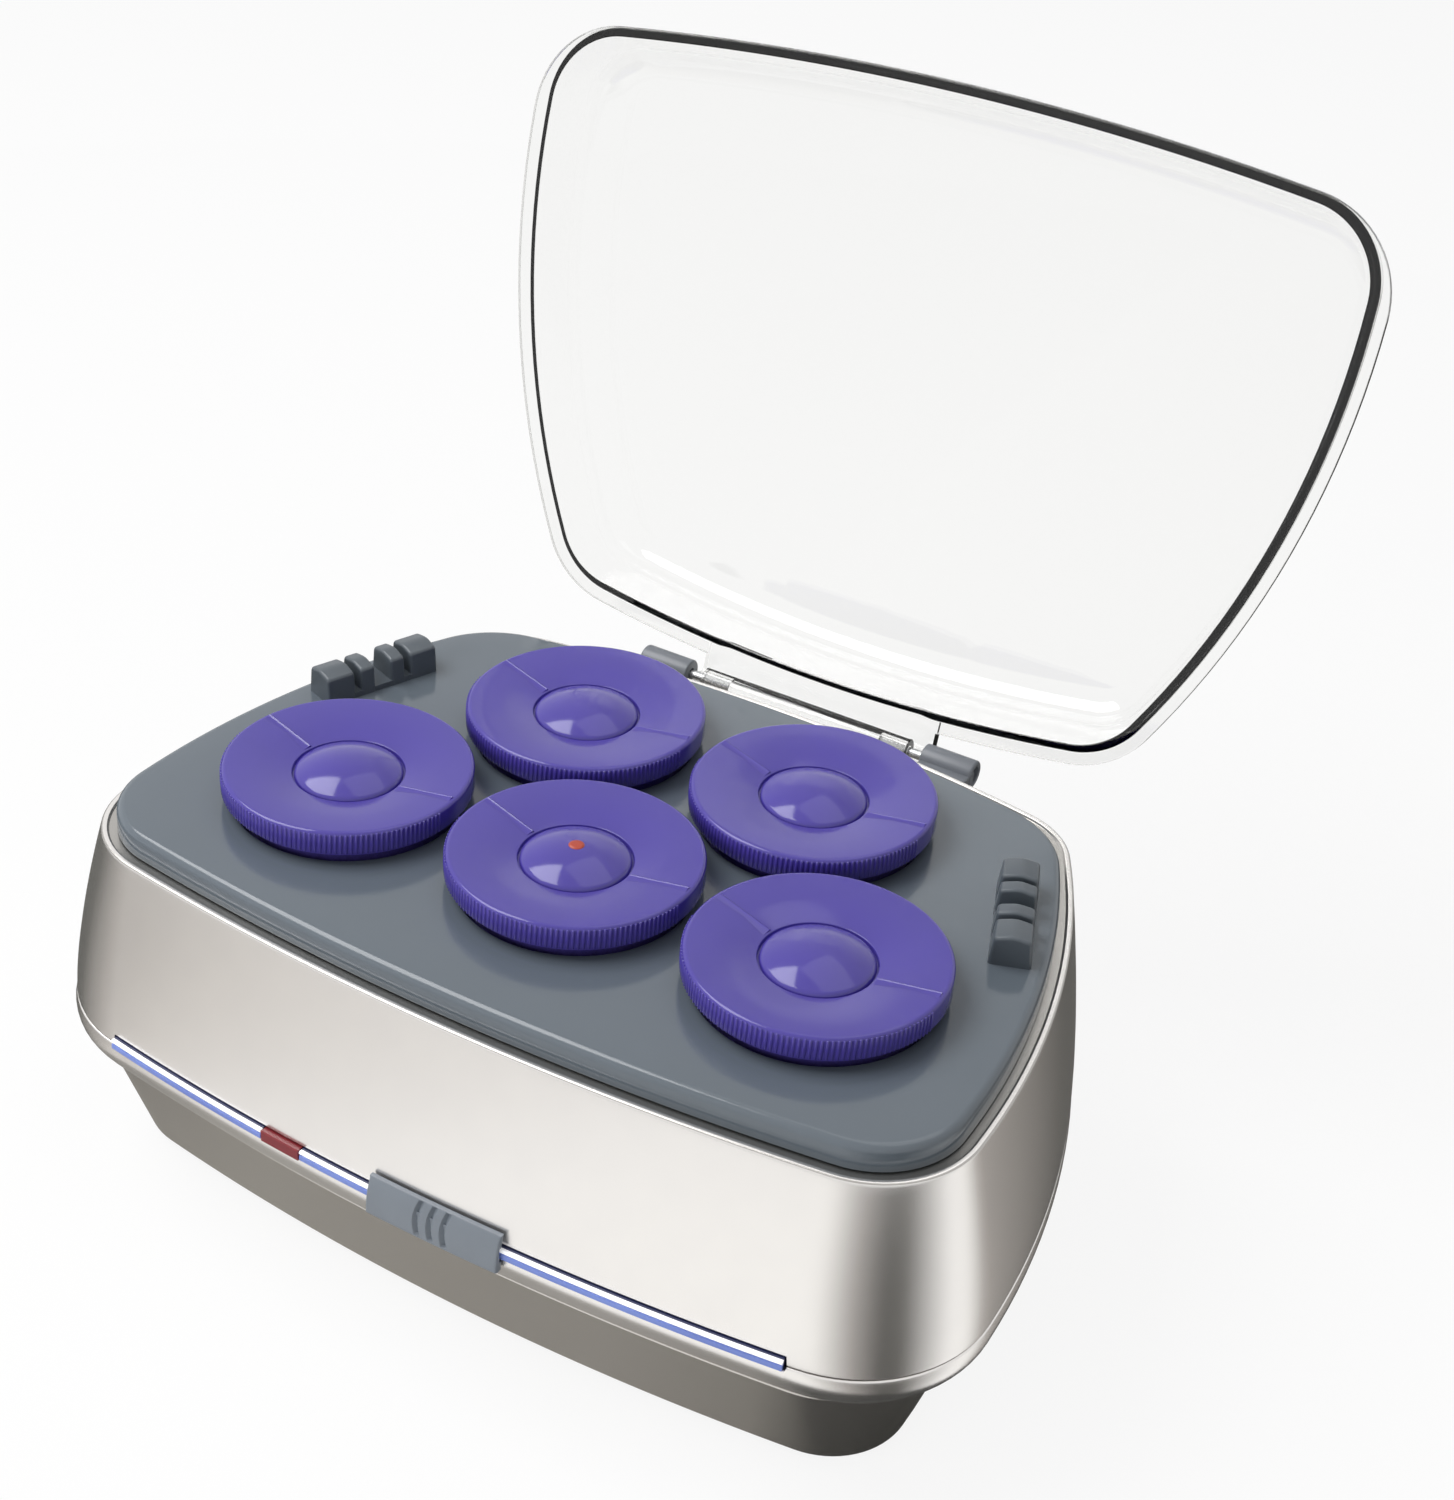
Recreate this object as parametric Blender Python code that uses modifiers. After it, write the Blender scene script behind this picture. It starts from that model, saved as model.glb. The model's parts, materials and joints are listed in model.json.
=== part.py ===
"""Heated roller set: a case with five lift-out rollers, a clear hinged lid and a slide switch.

X runs from left to right, Y from the front to the back and Z up.  The case stands on its rubber
feet at Z = 0, and the origin is under the middle of the space that the case fills, lid open.
"""

import math

import bmesh
import bpy
from mathutils import Matrix, Vector

MM = 0.001

# Fits
GAP = 0.3 * MM                   # between pieces that touch
RUNNING_GAP = 0.5 * MM           # between pieces that slide or turn
SKIN_OVERSHOOT = 3.0 * MM        # how far a cutter runs past the skin that it cuts

# Heights
FOOT_PAD_HEIGHT = 1.6 * MM
JOIN_HEIGHT = 29.5 * MM          # top of the tapered base
SEAM_HEIGHT = 41.2 * MM          # parting line between the band and the upper shell
LEDGE_HEIGHT = 86.1 * MM         # top of the shell, where the lid rests
TRAY_TOP = 91.9 * MM
CAP_TOP = 100.6 * MM             # outer edge of a seated roller's cap

# Plan of the case, measured at the top of the shell
ROW_Y = -57.1 * MM               # front row of rollers, from the origin
CASE_FRONT = ROW_Y - 50.8 * MM
CASE_BACK = ROW_Y + 101.5 * MM
CASE_HALF_WIDTH = 110.0 * MM
CASE_WIDEST_Y = ROW_Y - 17.4 * MM
FRONT_RADIUS = 630.0 * MM
SIDE_RADIUS = 215.0 * MM
BACK_RADIUS = 380.0 * MM
FRONT_CORNER_RADIUS = 25.0 * MM
BACK_CORNER_RADIUS = 21.0 * MM
SIDE_SPREAD = 0.93               # share of a flare that the sides take
BACK_SPREAD = 0.7                # share of a flare that the back takes
FORWARD_SPREAD = 0.6             # how far the widest line moves forwards with a flare
BASE_SIDE_SPREAD = 0.62
TRAY_INSET = 3.6 * MM            # ledge left free round the front and sides of the tray
TRAY_BACK = ROW_Y + 92.8 * MM
TRAY_CORNER_RADIUS = 25.0 * MM

# Walls
WALL = 2.5 * MM
FLOOR = 2.5 * MM
SHELL_FLARE = 8.7 * MM           # the shell is this much wider at the parting line
SHELL_CURVE = 1.45               # power of the flare: 1 is straight, more bulges higher up
BAND_BULGE = 0.5 * MM
BAND_TUCK = 6.2 * MM             # how far the band pulls in under its widest line
BAND_TUCK_POWER = 2.2
BAND_WIDEST = 38.8 * MM
BASE_FRONT_STEP = 4.2 * MM       # the base's top stands this far in front of the case plan
BASE_SIDE_STEP = -1.3 * MM
BASE_BACK_STEP = 1.0 * MM
BASE_TAPER = 9.6 * MM            # the base is this much smaller at the bottom
BASE_EDGE_RADIUS = 1.8 * MM
LIP = 1.5 * MM                   # locating lips of the band and the base
LIP_HEIGHT = 2.0 * MM
BEAD_WIDTH = 1.6 * MM
BEAD_HEIGHT = 0.7 * MM
TRAY_EDGE_RADIUS = 2.2 * MM
TRAY_BEARING = 5.0 * MM          # width of ledge under the tray

# Rollers
ROLLER_PITCH = 61.2 * MM
BACK_ROW_SPACING = 62.4 * MM
BACK_ROW_OFFSET = 53.8 * MM
MIDDLE_ROLLER_SHIFT = 1.3 * MM
CAP_RADIUS = 29.0 * MM
CAP_BAND = 5.5 * MM
CAP_LIP = 1.0 * MM
CAP_LIP_INSET = 1.0 * MM
CAP_SKIN = 2.0 * MM
CAP_DISH = 2.2 * MM
CAP_COLLAR = 5.5 * MM
CAP_WELL_RADIUS = 13.0 * MM
CAP_WELL_DEPTH = 2.3 * MM
DOME_RADIUS = 11.6 * MM
DOME_RISE = 1.2 * MM             # above the cap's outer edge
BARREL_RADIUS = 25.0 * MM
BARREL_WALL = 1.3 * MM
BARREL_FLANGE = 2.0 * MM
CORE_WALL = 1.6 * MM
CORE_FLANGE = 1.5 * MM
CORE_TOP_SPACE = 2.5 * MM
DOT_RADIUS = 1.8 * MM
DOT_HEIGHT = 0.9 * MM
DOT_PROUD = 0.3 * MM

# Heater
PLATE_BOTTOM = 17.0 * MM
PLATE_THICKNESS = 2.5 * MM
PLATE_MARGIN = 20.0 * MM         # round the post centres
POST_RADIUS = 7.8 * MM
POST_BASE_RADIUS = 12.0 * MM
POST_BASE_HEIGHT = 3.4 * MM
POST_TOP = 78.0 * MM
POST_NOSE = 2.0 * MM
POST_CLEARANCE = 0.6 * MM        # between a post and a roller's core
WELL_CLEARANCE = 1.6 * MM        # between a barrel and its well
WELL_WALL = 1.6 * MM
WELL_BOTTOM = 24.0 * MM
ELEMENT_SIZE = (110.0 * MM, 20.0 * MM, 2.5 * MM)
ELEMENT_Y = ROW_Y + 26.0 * MM
THERMOSTAT_RADIUS = 8.0 * MM
THERMOSTAT_HEIGHT = 7.0 * MM
FUSE_RADIUS = 2.4 * MM
FUSE_LENGTH = 14.0 * MM
FUSE_X = -48.0 * MM

# Screws, bosses and rubber feet, as places from the front row's middle
CASE_SCREWS = ((-88.0 * MM, -24.0 * MM), (88.0 * MM, -24.0 * MM),
               (-60.0 * MM, 75.0 * MM), (60.0 * MM, 75.0 * MM))
PLATE_SCREWS = ((-31.0 * MM, -3.0 * MM), (31.0 * MM, -3.0 * MM), (0.0, 55.0 * MM))
FEET = ((-76.0 * MM, -27.0 * MM), (76.0 * MM, -27.0 * MM), (-46.0 * MM, 76.0 * MM), (46.0 * MM, 76.0 * MM))
BOSS_RADIUS = 5.2 * MM
SCREW_RADIUS = 1.6 * MM
SCREW_HEAD_RADIUS = 3.2 * MM
SCREW_HEAD_HEIGHT = 2.2 * MM
SCREW_POCKET_DEPTH = 6.0 * MM
CASE_SCREW_LENGTH = 32.0 * MM
PLATE_SCREW_LENGTH = 10.0 * MM
FOOT_RADIUS = 8.0 * MM
FOOT_STUD_RADIUS = 3.0 * MM
FOOT_STUD_HEIGHT = 1.6 * MM

# Light bar, lens and slide switch on the parting line
BAR_HALF_LENGTH = 86.6 * MM
BAR_BELOW = 0.8 * MM
BAR_ABOVE = 2.1 * MM
BAR_BEVEL = 0.3 * MM
BAR_PROUD = 1.2 * MM
BAR_WEB = 1.0 * MM               # left behind the lens
LENS_X = -34.1 * MM
LENS_LENGTH = 10.2 * MM
LENS_PROUD = 0.2 * MM
KNOB_X = 6.8 * MM
KNOB_WIDTH = 33.2 * MM
KNOB_BELOW = 3.5 * MM            # the parting line
KNOB_ABOVE = 5.8 * MM
KNOB_PROUD = 2.9 * MM
KNOB_LEAN = 1.9 * MM             # how far the face leans back at its top
KNOB_LEAN_POWER = 2.5
KNOB_TRAVEL = 10.0 * MM
STEM_WIDTH = 6.0 * MM
STEM_HEIGHT = 1.8 * MM
STEM_REACH = 3.5 * MM            # inside the switch body
SWITCH_SIZE = (30.0 * MM, 22.0 * MM, 12.0 * MM)
SWITCH_DROP = 4.4 * MM           # from the parting line to the switch's underside
SWITCH_POST_SPACING = 18.0 * MM
SWITCH_POST_SETBACK = 4.0 * MM   # from the back of the switch body
LAMP_RADIUS = 2.5 * MM
LAMP_LENGTH = 20.0 * MM
LAMP_HOLDER_SIZE = (11.0 * MM, 7.0 * MM, 9.0 * MM)
POST_BOSS_RADIUS = 3.0 * MM

# Lid and hinge
LID_HEIGHT = 24.0 * MM           # above the ledge, closed
LID_WALL = 2.2 * MM
LID_FRONT_INSET = 0.6 * MM
LID_SIDE_OVERHANG = 1.2 * MM
LID_BACK_OVERHANG = 2.0 * MM
LID_FRONT_RADIUS = 800.0 * MM
LID_BACK_RADIUS = 455.0 * MM
LID_CORNER_RADIUS = 21.5 * MM
LID_LIP = 3.0 * MM
LID_FRONT_LIP = 0.3 * MM
LID_LIP_HEIGHT = 2.0 * MM
LID_DRAFT = 4.4 * MM
LID_FILLET = 10.0 * MM
LID_OPEN_DEG = 105.0
HINGE_Y = ROW_Y + 110.2 * MM
HINGE_Z = 80.9 * MM
HINGE_PIN_RADIUS = 1.25 * MM
TAB_HALF_WIDTH = 33.7 * MM
TAB_BARREL_HALF_WIDTH = 29.8 * MM
TAB_BARREL_RADIUS = 3.3 * MM
TAB_THICKNESS = 2.4 * MM
TAB_BORE_DEPTH = 8.0 * MM
KNUCKLE_RADIUS = 3.7 * MM
KNUCKLE_LENGTH = 14.2 * MM
KNUCKLE_ARM_ABOVE = 1.2 * MM     # of the hinge line
KNUCKLE_ARM_BELOW = 2.8 * MM
KNUCKLE_PLATE_DROP = 10.0 * MM
KNUCKLE_PLATE_THICKNESS = 2.0 * MM
PIN_RECESS = 2.0 * MM

# Clip racks
RACK_LENGTH = 31.2 * MM
RACK_BASE_WIDTH = 9.6 * MM
RACK_TOP_WIDTH = 8.2 * MM
RACK_HEIGHT = 7.8 * MM
RACK_CROWN = 0.9 * MM
RACK_SUNK = 0.8 * MM
RACK_FLOOR = 1.4 * MM            # left under the slots
RACK_X = 87.3 * MM
RACK_Y = ROW_Y + 43.8 * MM
RACK_TURN_DEG = 20.5
RACK_END_FIN = 7.6 * MM
RACK_NARROW_SLOT = 1.7 * MM
RACK_WIDE_SLOT = 4.6 * MM
RACK_EDGE_RADIUS = 0.9 * MM

# Mains inlet, terminal block and inner leads
GLAND_X = 58.0 * MM
GLAND_Z = 52.0 * MM
GLAND_RADIUS = 5.0 * MM
GLAND_FLANGE_RADIUS = 7.5 * MM
GLAND_FLANGE = 2.0 * MM
GLAND_BORE = 3.2 * MM
GLAND_INSIDE = 4.0 * MM
TERMINAL_SIZE = (26.0 * MM, 12.0 * MM, 10.0 * MM)
TERMINAL_X = 34.0 * MM
TERMINAL_Y = ROW_Y + 69.0 * MM
LEAD_RADIUS = 1.1 * MM

# Smoothness of the curved faces
FRONT_FACET = 37.0 * MM
CORNER_STEPS = 5
SIDE_STEPS = 4
HALF_BACK_STEPS = 2
STRIP_STEP = 25.0 * MM
CAP_SEGMENTS = 24
POST_SEGMENTS = 16
SMALL_SEGMENTS = 12

# What follows from the sizes above
HALF_FRONT_STEPS = math.ceil(CASE_HALF_WIDTH / FRONT_FACET)
BASE_BOTTOM = FOOT_PAD_HEIGHT
LEDGE_FLOOR = LEDGE_HEIGHT - BEAD_HEIGHT
TRAY_UNDERSIDE = TRAY_TOP - WALL
PLATE_TOP = PLATE_BOTTOM + PLATE_THICKNESS
POST_BOTTOM = PLATE_TOP + GAP
ROLLER_BOTTOM = POST_BOTTOM + POST_BASE_HEIGHT + GAP
WELL_RADIUS = BARREL_RADIUS + WELL_CLEARANCE
CAP_UNDERSIDE = CAP_TOP - CAP_BAND - CAP_LIP
CORE_RADIUS = BARREL_RADIUS - BARREL_WALL - GAP
CORE_BORE = POST_RADIUS + POST_CLEARANCE
CORE_BOTTOM = ROLLER_BOTTOM + BARREL_FLANGE + GAP
CORE_TOP = CAP_UNDERSIDE - CAP_COLLAR - CORE_TOP_SPACE
BASE_INSIDE = BASE_BOTTOM + FLOOR
KNOB_BOTTOM = SEAM_HEIGHT - KNOB_BELOW
KNOB_TOP = SEAM_HEIGHT + KNOB_ABOVE
SWITCH_BOTTOM = SEAM_HEIGHT - SWITCH_DROP
STEM_Z = SEAM_HEIGHT + BAR_ABOVE + 2 * RUNNING_GAP + STEM_HEIGHT / 2
ROLLER_PLACES = {
    "roller_1": Vector((-ROLLER_PITCH, ROW_Y)),
    "roller_2": Vector((0.0, ROW_Y + MIDDLE_ROLLER_SHIFT)),
    "roller_3": Vector((ROLLER_PITCH, ROW_Y)),
    "roller_4": Vector((-BACK_ROW_SPACING / 2, ROW_Y + BACK_ROW_OFFSET)),
    "roller_5": Vector((BACK_ROW_SPACING / 2, ROW_Y + BACK_ROW_OFFSET)),
}

FINISHES = {
    "silver": ("C9C7C4", 0.35, 0.75),
    "silver_base": ("A9A7A3", 0.42, 0.7),
    "grey": ("6E757D", 0.25, 0.0),
    "rack_grey": ("70777F", 0.35, 0.0),
    "knuckle_grey": ("8A8D92", 0.4, 0.0),
    "clear": ("F2F4F5", 0.04, 0.0),
    "purple": ("5D549D", 0.3, 0.0),
    "velvet": ("4C4488", 0.9, 0.0),
    "aluminium": ("C4C6C8", 0.3, 1.0),
    "steel": ("B9BABC", 0.25, 1.0),
    "blue": ("7F90D8", 0.15, 0.0),
    "red": ("8B2F36", 0.2, 0.0),
    "dot": ("B4412F", 0.4, 0.0),
    "knob_grey": ("868D97", 0.4, 0.0),
    "black": ("2B2B2D", 0.55, 0.0),
    "rubber": ("2A2A2B", 0.85, 0.0),
    "white": ("D8D6CF", 0.6, 0.0),
    "lead": ("A94B3C", 0.5, 0.0),
}


class Plan:
    """A convex outline: front, side and back arcs, with a tangent arc round each corner."""

    def __init__(self, front, back, half_width, arc_radii, corner_radii, spread=(1.0, 1.0, 0.0)):
        self.front = front
        self.back = back
        self.half_width = half_width
        self.arc_radii = arc_radii
        self.corner_radii = corner_radii
        self.side_spread, self.back_spread, self.forward_spread = spread

    def ring(self, flare, z, inset=0.0):
        """The outline grown by flare, then moved in evenly by inset, as points at height z."""
        side = flare * self.side_spread
        back = flare * self.back_spread
        front_radius = self.arc_radii[0] + flare
        side_radius = self.arc_radii[1] + side
        back_radius = self.arc_radii[2] + back
        front_corner = self.corner_radii[0] + side
        back_corner = self.corner_radii[1] + back
        front_centre = Vector((0.0, self.front - flare + front_radius))
        widest_y = CASE_WIDEST_Y - flare * self.forward_spread
        side_centre = Vector((self.half_width + side - side_radius, widest_y))
        back_centre = Vector((0.0, self.back + back - back_radius))
        front_corner_centre = crossing(front_centre, front_radius - front_corner,
                                       side_centre, side_radius - front_corner)
        back_corner_centre = crossing(back_centre, back_radius - back_corner,
                                      side_centre, side_radius - back_corner)
        front_turn = heading(front_corner_centre - front_centre)
        side_start = heading(front_corner_centre - side_centre)
        side_end = heading(back_corner_centre - side_centre)
        back_turn = heading(back_corner_centre - back_centre)
        arcs = (
            (front_centre, front_radius, -math.pi / 2, front_turn, HALF_FRONT_STEPS),
            (front_corner_centre, front_corner, front_turn, side_start, CORNER_STEPS),
            (side_centre, side_radius, side_start, side_end, SIDE_STEPS),
            (back_corner_centre, back_corner, side_end, back_turn, CORNER_STEPS),
            (back_centre, back_radius, back_turn, math.pi / 2, HALF_BACK_STEPS),
        )
        right = []
        for centre, radius, start, end, steps in arcs:
            angles = steps_between(start, end, steps)[:-1]
            right += [point_on_circle(centre, radius - inset, angle) for angle in angles]
        back_middle = Vector((0.0, self.back + back - inset))
        left = [Vector((-point.x, point.y)) for point in reversed(right[1:])]
        return [Vector((point.x, point.y, z)) for point in right + [back_middle] + left]


def crossing(centre_a, radius_a, centre_b, radius_b):
    """The right-hand point where two circles cross."""
    between = centre_b - centre_a
    along = (radius_a ** 2 - radius_b ** 2 + between.length_squared) / (2 * between.length)
    across = math.sqrt(radius_a ** 2 - along ** 2)
    foot = centre_a + between.normalized() * along
    sideways = Vector((-between.y, between.x)).normalized() * across
    return max(foot + sideways, foot - sideways, key=lambda point: point.x)


def heading(direction):
    return math.atan2(direction.y, direction.x)


def point_on_circle(centre, radius, angle):
    return centre + Vector((math.cos(angle), math.sin(angle))) * radius


CASE = Plan(CASE_FRONT, CASE_BACK, CASE_HALF_WIDTH, (FRONT_RADIUS, SIDE_RADIUS, BACK_RADIUS),
            (FRONT_CORNER_RADIUS, BACK_CORNER_RADIUS), (SIDE_SPREAD, BACK_SPREAD, FORWARD_SPREAD))
BASE = Plan(CASE_FRONT - BASE_FRONT_STEP, CASE_BACK + BASE_BACK_STEP, CASE_HALF_WIDTH + BASE_SIDE_STEP,
            (FRONT_RADIUS, SIDE_RADIUS, BACK_RADIUS), (FRONT_CORNER_RADIUS, BACK_CORNER_RADIUS),
            (BASE_SIDE_SPREAD, BACK_SPREAD, 0.0))
TRAY = Plan(CASE_FRONT + TRAY_INSET, TRAY_BACK, CASE_HALF_WIDTH - TRAY_INSET,
            (FRONT_RADIUS - TRAY_INSET, SIDE_RADIUS - TRAY_INSET, BACK_RADIUS),
            (FRONT_CORNER_RADIUS - TRAY_INSET, TRAY_CORNER_RADIUS))
LID = Plan(CASE_FRONT + LID_FRONT_INSET, CASE_BACK + LID_BACK_OVERHANG,
           CASE_HALF_WIDTH + LID_SIDE_OVERHANG, (LID_FRONT_RADIUS, SIDE_RADIUS, LID_BACK_RADIUS),
           (LID_CORNER_RADIUS, LID_CORNER_RADIUS))
LID_EDGE = Plan(CASE_FRONT + LID_FRONT_INSET - LID_FRONT_LIP, CASE_BACK + LID_BACK_OVERHANG + LID_LIP,
                CASE_HALF_WIDTH + LID_SIDE_OVERHANG + LID_LIP,
                (LID_FRONT_RADIUS, SIDE_RADIUS + LID_LIP, LID_BACK_RADIUS + LID_LIP),
                (LID_CORNER_RADIUS + LID_LIP, LID_CORNER_RADIUS + LID_LIP))


def shell_flare(z):
    """How far the upper shell's skin stands outside the case plan at height z."""
    drop = (LEDGE_HEIGHT - z) / (LEDGE_HEIGHT - SEAM_HEIGHT)
    return SHELL_FLARE * (1 - (1 - drop) ** SHELL_CURVE)


def band_flare(z):
    """How far the band's skin stands outside the case plan at height z."""
    if z > BAND_WIDEST:
        rise = (z - BAND_WIDEST) / (SEAM_HEIGHT - BAND_WIDEST)
        return SHELL_FLARE + BAND_BULGE * (1 - rise ** 2)
    fall = (BAND_WIDEST - z) / (BAND_WIDEST - JOIN_HEIGHT)
    return SHELL_FLARE + BAND_BULGE - BAND_TUCK * fall ** BAND_TUCK_POWER


def steps_between(start, end, count):
    return [start + (end - start) * i / count for i in range(count + 1)]


# Scene helpers

def clear_scene():
    for obj in list(bpy.data.objects):
        bpy.data.objects.remove(obj)


def new_collection(name):
    collection = bpy.data.collections.new(name)
    bpy.context.scene.collection.children.link(collection)
    return collection


clear_scene()
PARTS = new_collection("heated_roller_set")
CUTTERS = new_collection("cutters")
MATERIALS = {}


def linear(channel):
    return channel / 12.92 if channel <= 0.04045 else ((channel + 0.055) / 1.055) ** 2.4


def finish(name):
    """The material of a finish, made on first use."""
    if name not in MATERIALS:
        colour, roughness, metallic = FINISHES[name]
        channels = [linear(int(colour[i:i + 2], 16) / 255) for i in (0, 2, 4)]
        material = bpy.data.materials.new(name)
        material.use_nodes = True
        shader = material.node_tree.nodes["Principled BSDF"]
        shader.inputs["Base Color"].default_value = (*channels, 1.0)
        shader.inputs["Roughness"].default_value = roughness
        shader.inputs["Metallic"].default_value = metallic
        MATERIALS[name] = material
    return MATERIALS[name]


def as_part(obj, name, finish_name, parent=None):
    obj.name = name
    obj.data.name = name
    obj.data.materials.clear()
    obj.data.materials.append(finish(finish_name))
    obj.parent = parent
    PARTS.objects.link(obj)
    return obj


def as_cutter(obj, name, parent=None):
    obj.name = name
    obj.hide_render = True
    obj.display_type = "WIRE"
    obj.parent = parent
    CUTTERS.objects.link(obj)
    return obj


def empty(name, place, turn_x=0.0):
    obj = bpy.data.objects.new(name, None)
    obj.location = place
    obj.rotation_euler = (turn_x, 0.0, 0.0)
    PARTS.objects.link(obj)
    return obj


def combine(obj, operand, operation):
    modifier = obj.modifiers.new(operand.name, "BOOLEAN")
    modifier.operation = operation
    modifier.object = operand
    modifier.solver = "EXACT"


# Shapes

def mesh_object(bm, smooth_angle=math.radians(35)):
    mesh = bpy.data.meshes.new("shape")
    bm.to_mesh(mesh)
    bm.free()
    mesh.shade_smooth()
    mesh.set_sharp_from_angle(angle=smooth_angle)
    return bpy.data.objects.new("shape", mesh)


def skinned(rings, closed):
    """Rings of equally many points joined by faces; the end rings are capped unless closed."""
    bm = bmesh.new()
    loops = [[bm.verts.new(point) for point in ring] for ring in rings]
    pairs = list(zip(loops, loops[1:]))
    if closed:
        pairs.append((loops[-1], loops[0]))
    else:
        bm.faces.new(loops[0])
        bm.faces.new(loops[-1])
    for near, far in pairs:
        for i in range(len(near)):
            j = (i + 1) % len(near)
            bm.faces.new((near[i], near[j], far[j], far[i]))
    bmesh.ops.recalc_face_normals(bm, faces=bm.faces)
    return mesh_object(bm)


def front_strip(section, x_from, x_to):
    """A bar that follows the case's front arc; section holds (flare, z) corners."""
    count = max(2, math.ceil((x_to - x_from) / STRIP_STEP))
    rings = []
    for x in steps_between(x_from, x_to, count):
        angle = math.asin(x / FRONT_RADIUS)
        ring = []
        for flare, z in section:
            radius = FRONT_RADIUS + flare
            y = CASE_FRONT + FRONT_RADIUS - radius * math.cos(angle)
            ring.append(Vector((radius * math.sin(angle), y, z)))
        rings.append(ring)
    return skinned(rings, closed=False)


def prism_along_x(section, x_from, x_to):
    """section holds (y, z) corners."""
    return skinned([[Vector((x, y, z)) for y, z in section] for x in (x_from, x_to)], closed=False)


def prism_along_z(outline, z_from, z_to):
    """outline holds (x, y) corners."""
    return skinned([[Vector((x, y, z)) for x, y in outline] for z in (z_from, z_to)], closed=False)


def turned(profile, segments, ring=False):
    """profile holds (radius, z) points, top to bottom on the outer side; a ring's is a loop."""
    mesh = bpy.data.meshes.new("shape")
    edges = [(i, i + 1) for i in range(len(profile) - 1)]
    if ring:
        edges.append((len(profile) - 1, 0))
    mesh.from_pydata([(radius, 0.0, z) for radius, z in profile], edges, [])
    obj = bpy.data.objects.new("shape", mesh)
    screw = obj.modifiers.new("turn", "SCREW")
    screw.axis = "Z"
    screw.angle = math.tau
    screw.steps = segments
    screw.render_steps = segments
    screw.use_merge_vertices = True
    screw.merge_threshold = 0.00001
    screw.use_smooth_shade = True
    return obj


def boxes(places_and_sizes):
    bm = bmesh.new()
    for centre, size in places_and_sizes:
        matrix = Matrix.Translation(centre) @ Matrix.Diagonal((*size, 1.0))
        bmesh.ops.create_cube(bm, size=1.0, matrix=matrix)
    return mesh_object(bm)


def rods(ends_and_radii, segments=SMALL_SEGMENTS):
    """Round rods between two points each, all in one mesh."""
    bm = bmesh.new()
    for start, end, radius in ends_and_radii:
        run = Vector(end) - Vector(start)
        middle = Matrix.Translation((Vector(start) + Vector(end)) / 2)
        turn = run.to_track_quat("Z", "Y").to_matrix().to_4x4()
        bmesh.ops.create_cone(bm, cap_ends=True, segments=segments, radius1=radius, radius2=radius,
                              depth=run.length, matrix=middle @ turn)
    return mesh_object(bm)


def bevelled(obj, width, segments=2):
    bevel = obj.modifiers.new("edges", "BEVEL")
    bevel.width = width
    bevel.segments = segments
    bevel.limit_method = "ANGLE"
    bevel.angle_limit = math.radians(50)


def from_row(places):
    """Places given from the middle of the front row."""
    return [(x, ROW_Y + y) for x, y in places]


def uprights(places, z_from, z_to, radius):
    """Upright rods, for rods()."""
    return [((x, y, z_from), (x, y, z_to), radius) for x, y in places]


# Case

def make_upper_shell():
    outer_z = steps_between(SEAM_HEIGHT + GAP / 2, LEDGE_HEIGHT - BEAD_WIDTH / 2, 5)
    outer = [CASE.ring(shell_flare(z), z) for z in outer_z]
    bead = [
        CASE.ring(-BEAD_WIDTH / 4, LEDGE_HEIGHT),
        CASE.ring(-BEAD_WIDTH, LEDGE_HEIGHT),
        CASE.ring(-BEAD_WIDTH, LEDGE_FLOOR),
    ]
    opening = [TRAY.ring(-TRAY_BEARING, LEDGE_FLOOR), TRAY.ring(-TRAY_BEARING, LEDGE_FLOOR - WALL)]
    inner_z = steps_between(LEDGE_FLOOR - WALL, SEAM_HEIGHT + GAP / 2, 3)
    inner = [CASE.ring(shell_flare(z), z, WALL) for z in inner_z]
    shell = as_part(skinned(outer + bead + opening + inner, closed=True), "upper_shell", "silver")
    combine(shell, light_bar_cutter(), "DIFFERENCE")
    combine(shell, stem_slot_cutter(), "DIFFERENCE")
    combine(shell, hinge_slot_cutter(), "DIFFERENCE")
    combine(shell, gland_cutter(), "DIFFERENCE")


def make_lower_band():
    top = SEAM_HEIGHT - GAP / 2
    bottom = JOIN_HEIGHT + GAP / 2
    outer_z = [top, BAND_WIDEST] + steps_between(BAND_WIDEST, bottom, 4)[1:]
    outer = [CASE.ring(band_flare(z), z) for z in outer_z]
    inner = [CASE.ring(band_flare(z), z, WALL) for z in steps_between(bottom, BAND_WIDEST, 3)[:-1]]
    lip = [
        CASE.ring(SHELL_FLARE, BAND_WIDEST, WALL + GAP + LIP),
        CASE.ring(SHELL_FLARE, SEAM_HEIGHT + LIP_HEIGHT, WALL + GAP + LIP),
        CASE.ring(SHELL_FLARE, SEAM_HEIGHT + LIP_HEIGHT, WALL + GAP),
        CASE.ring(SHELL_FLARE, top, WALL + GAP),
    ]
    band = as_part(skinned(outer + inner + lip, closed=True), "lower_band", "silver_base")
    combine(band, bar_notch_cutter(), "DIFFERENCE")
    combine(band, lamp_window(), "DIFFERENCE")


def base_section():
    """(flare, z) up the outside of the base, from its rounded bottom edge."""
    top = JOIN_HEIGHT - GAP / 2
    edge = BASE_EDGE_RADIUS
    return (
        (-BASE_TAPER - edge * 0.8, BASE_BOTTOM),
        (-BASE_TAPER - edge * 0.1, BASE_BOTTOM + edge * 0.35),
        (-BASE_TAPER + edge * 0.4, BASE_BOTTOM + edge),
        (0.0, top - 0.5 * MM),
        (-0.5 * MM, top),
    )


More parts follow.
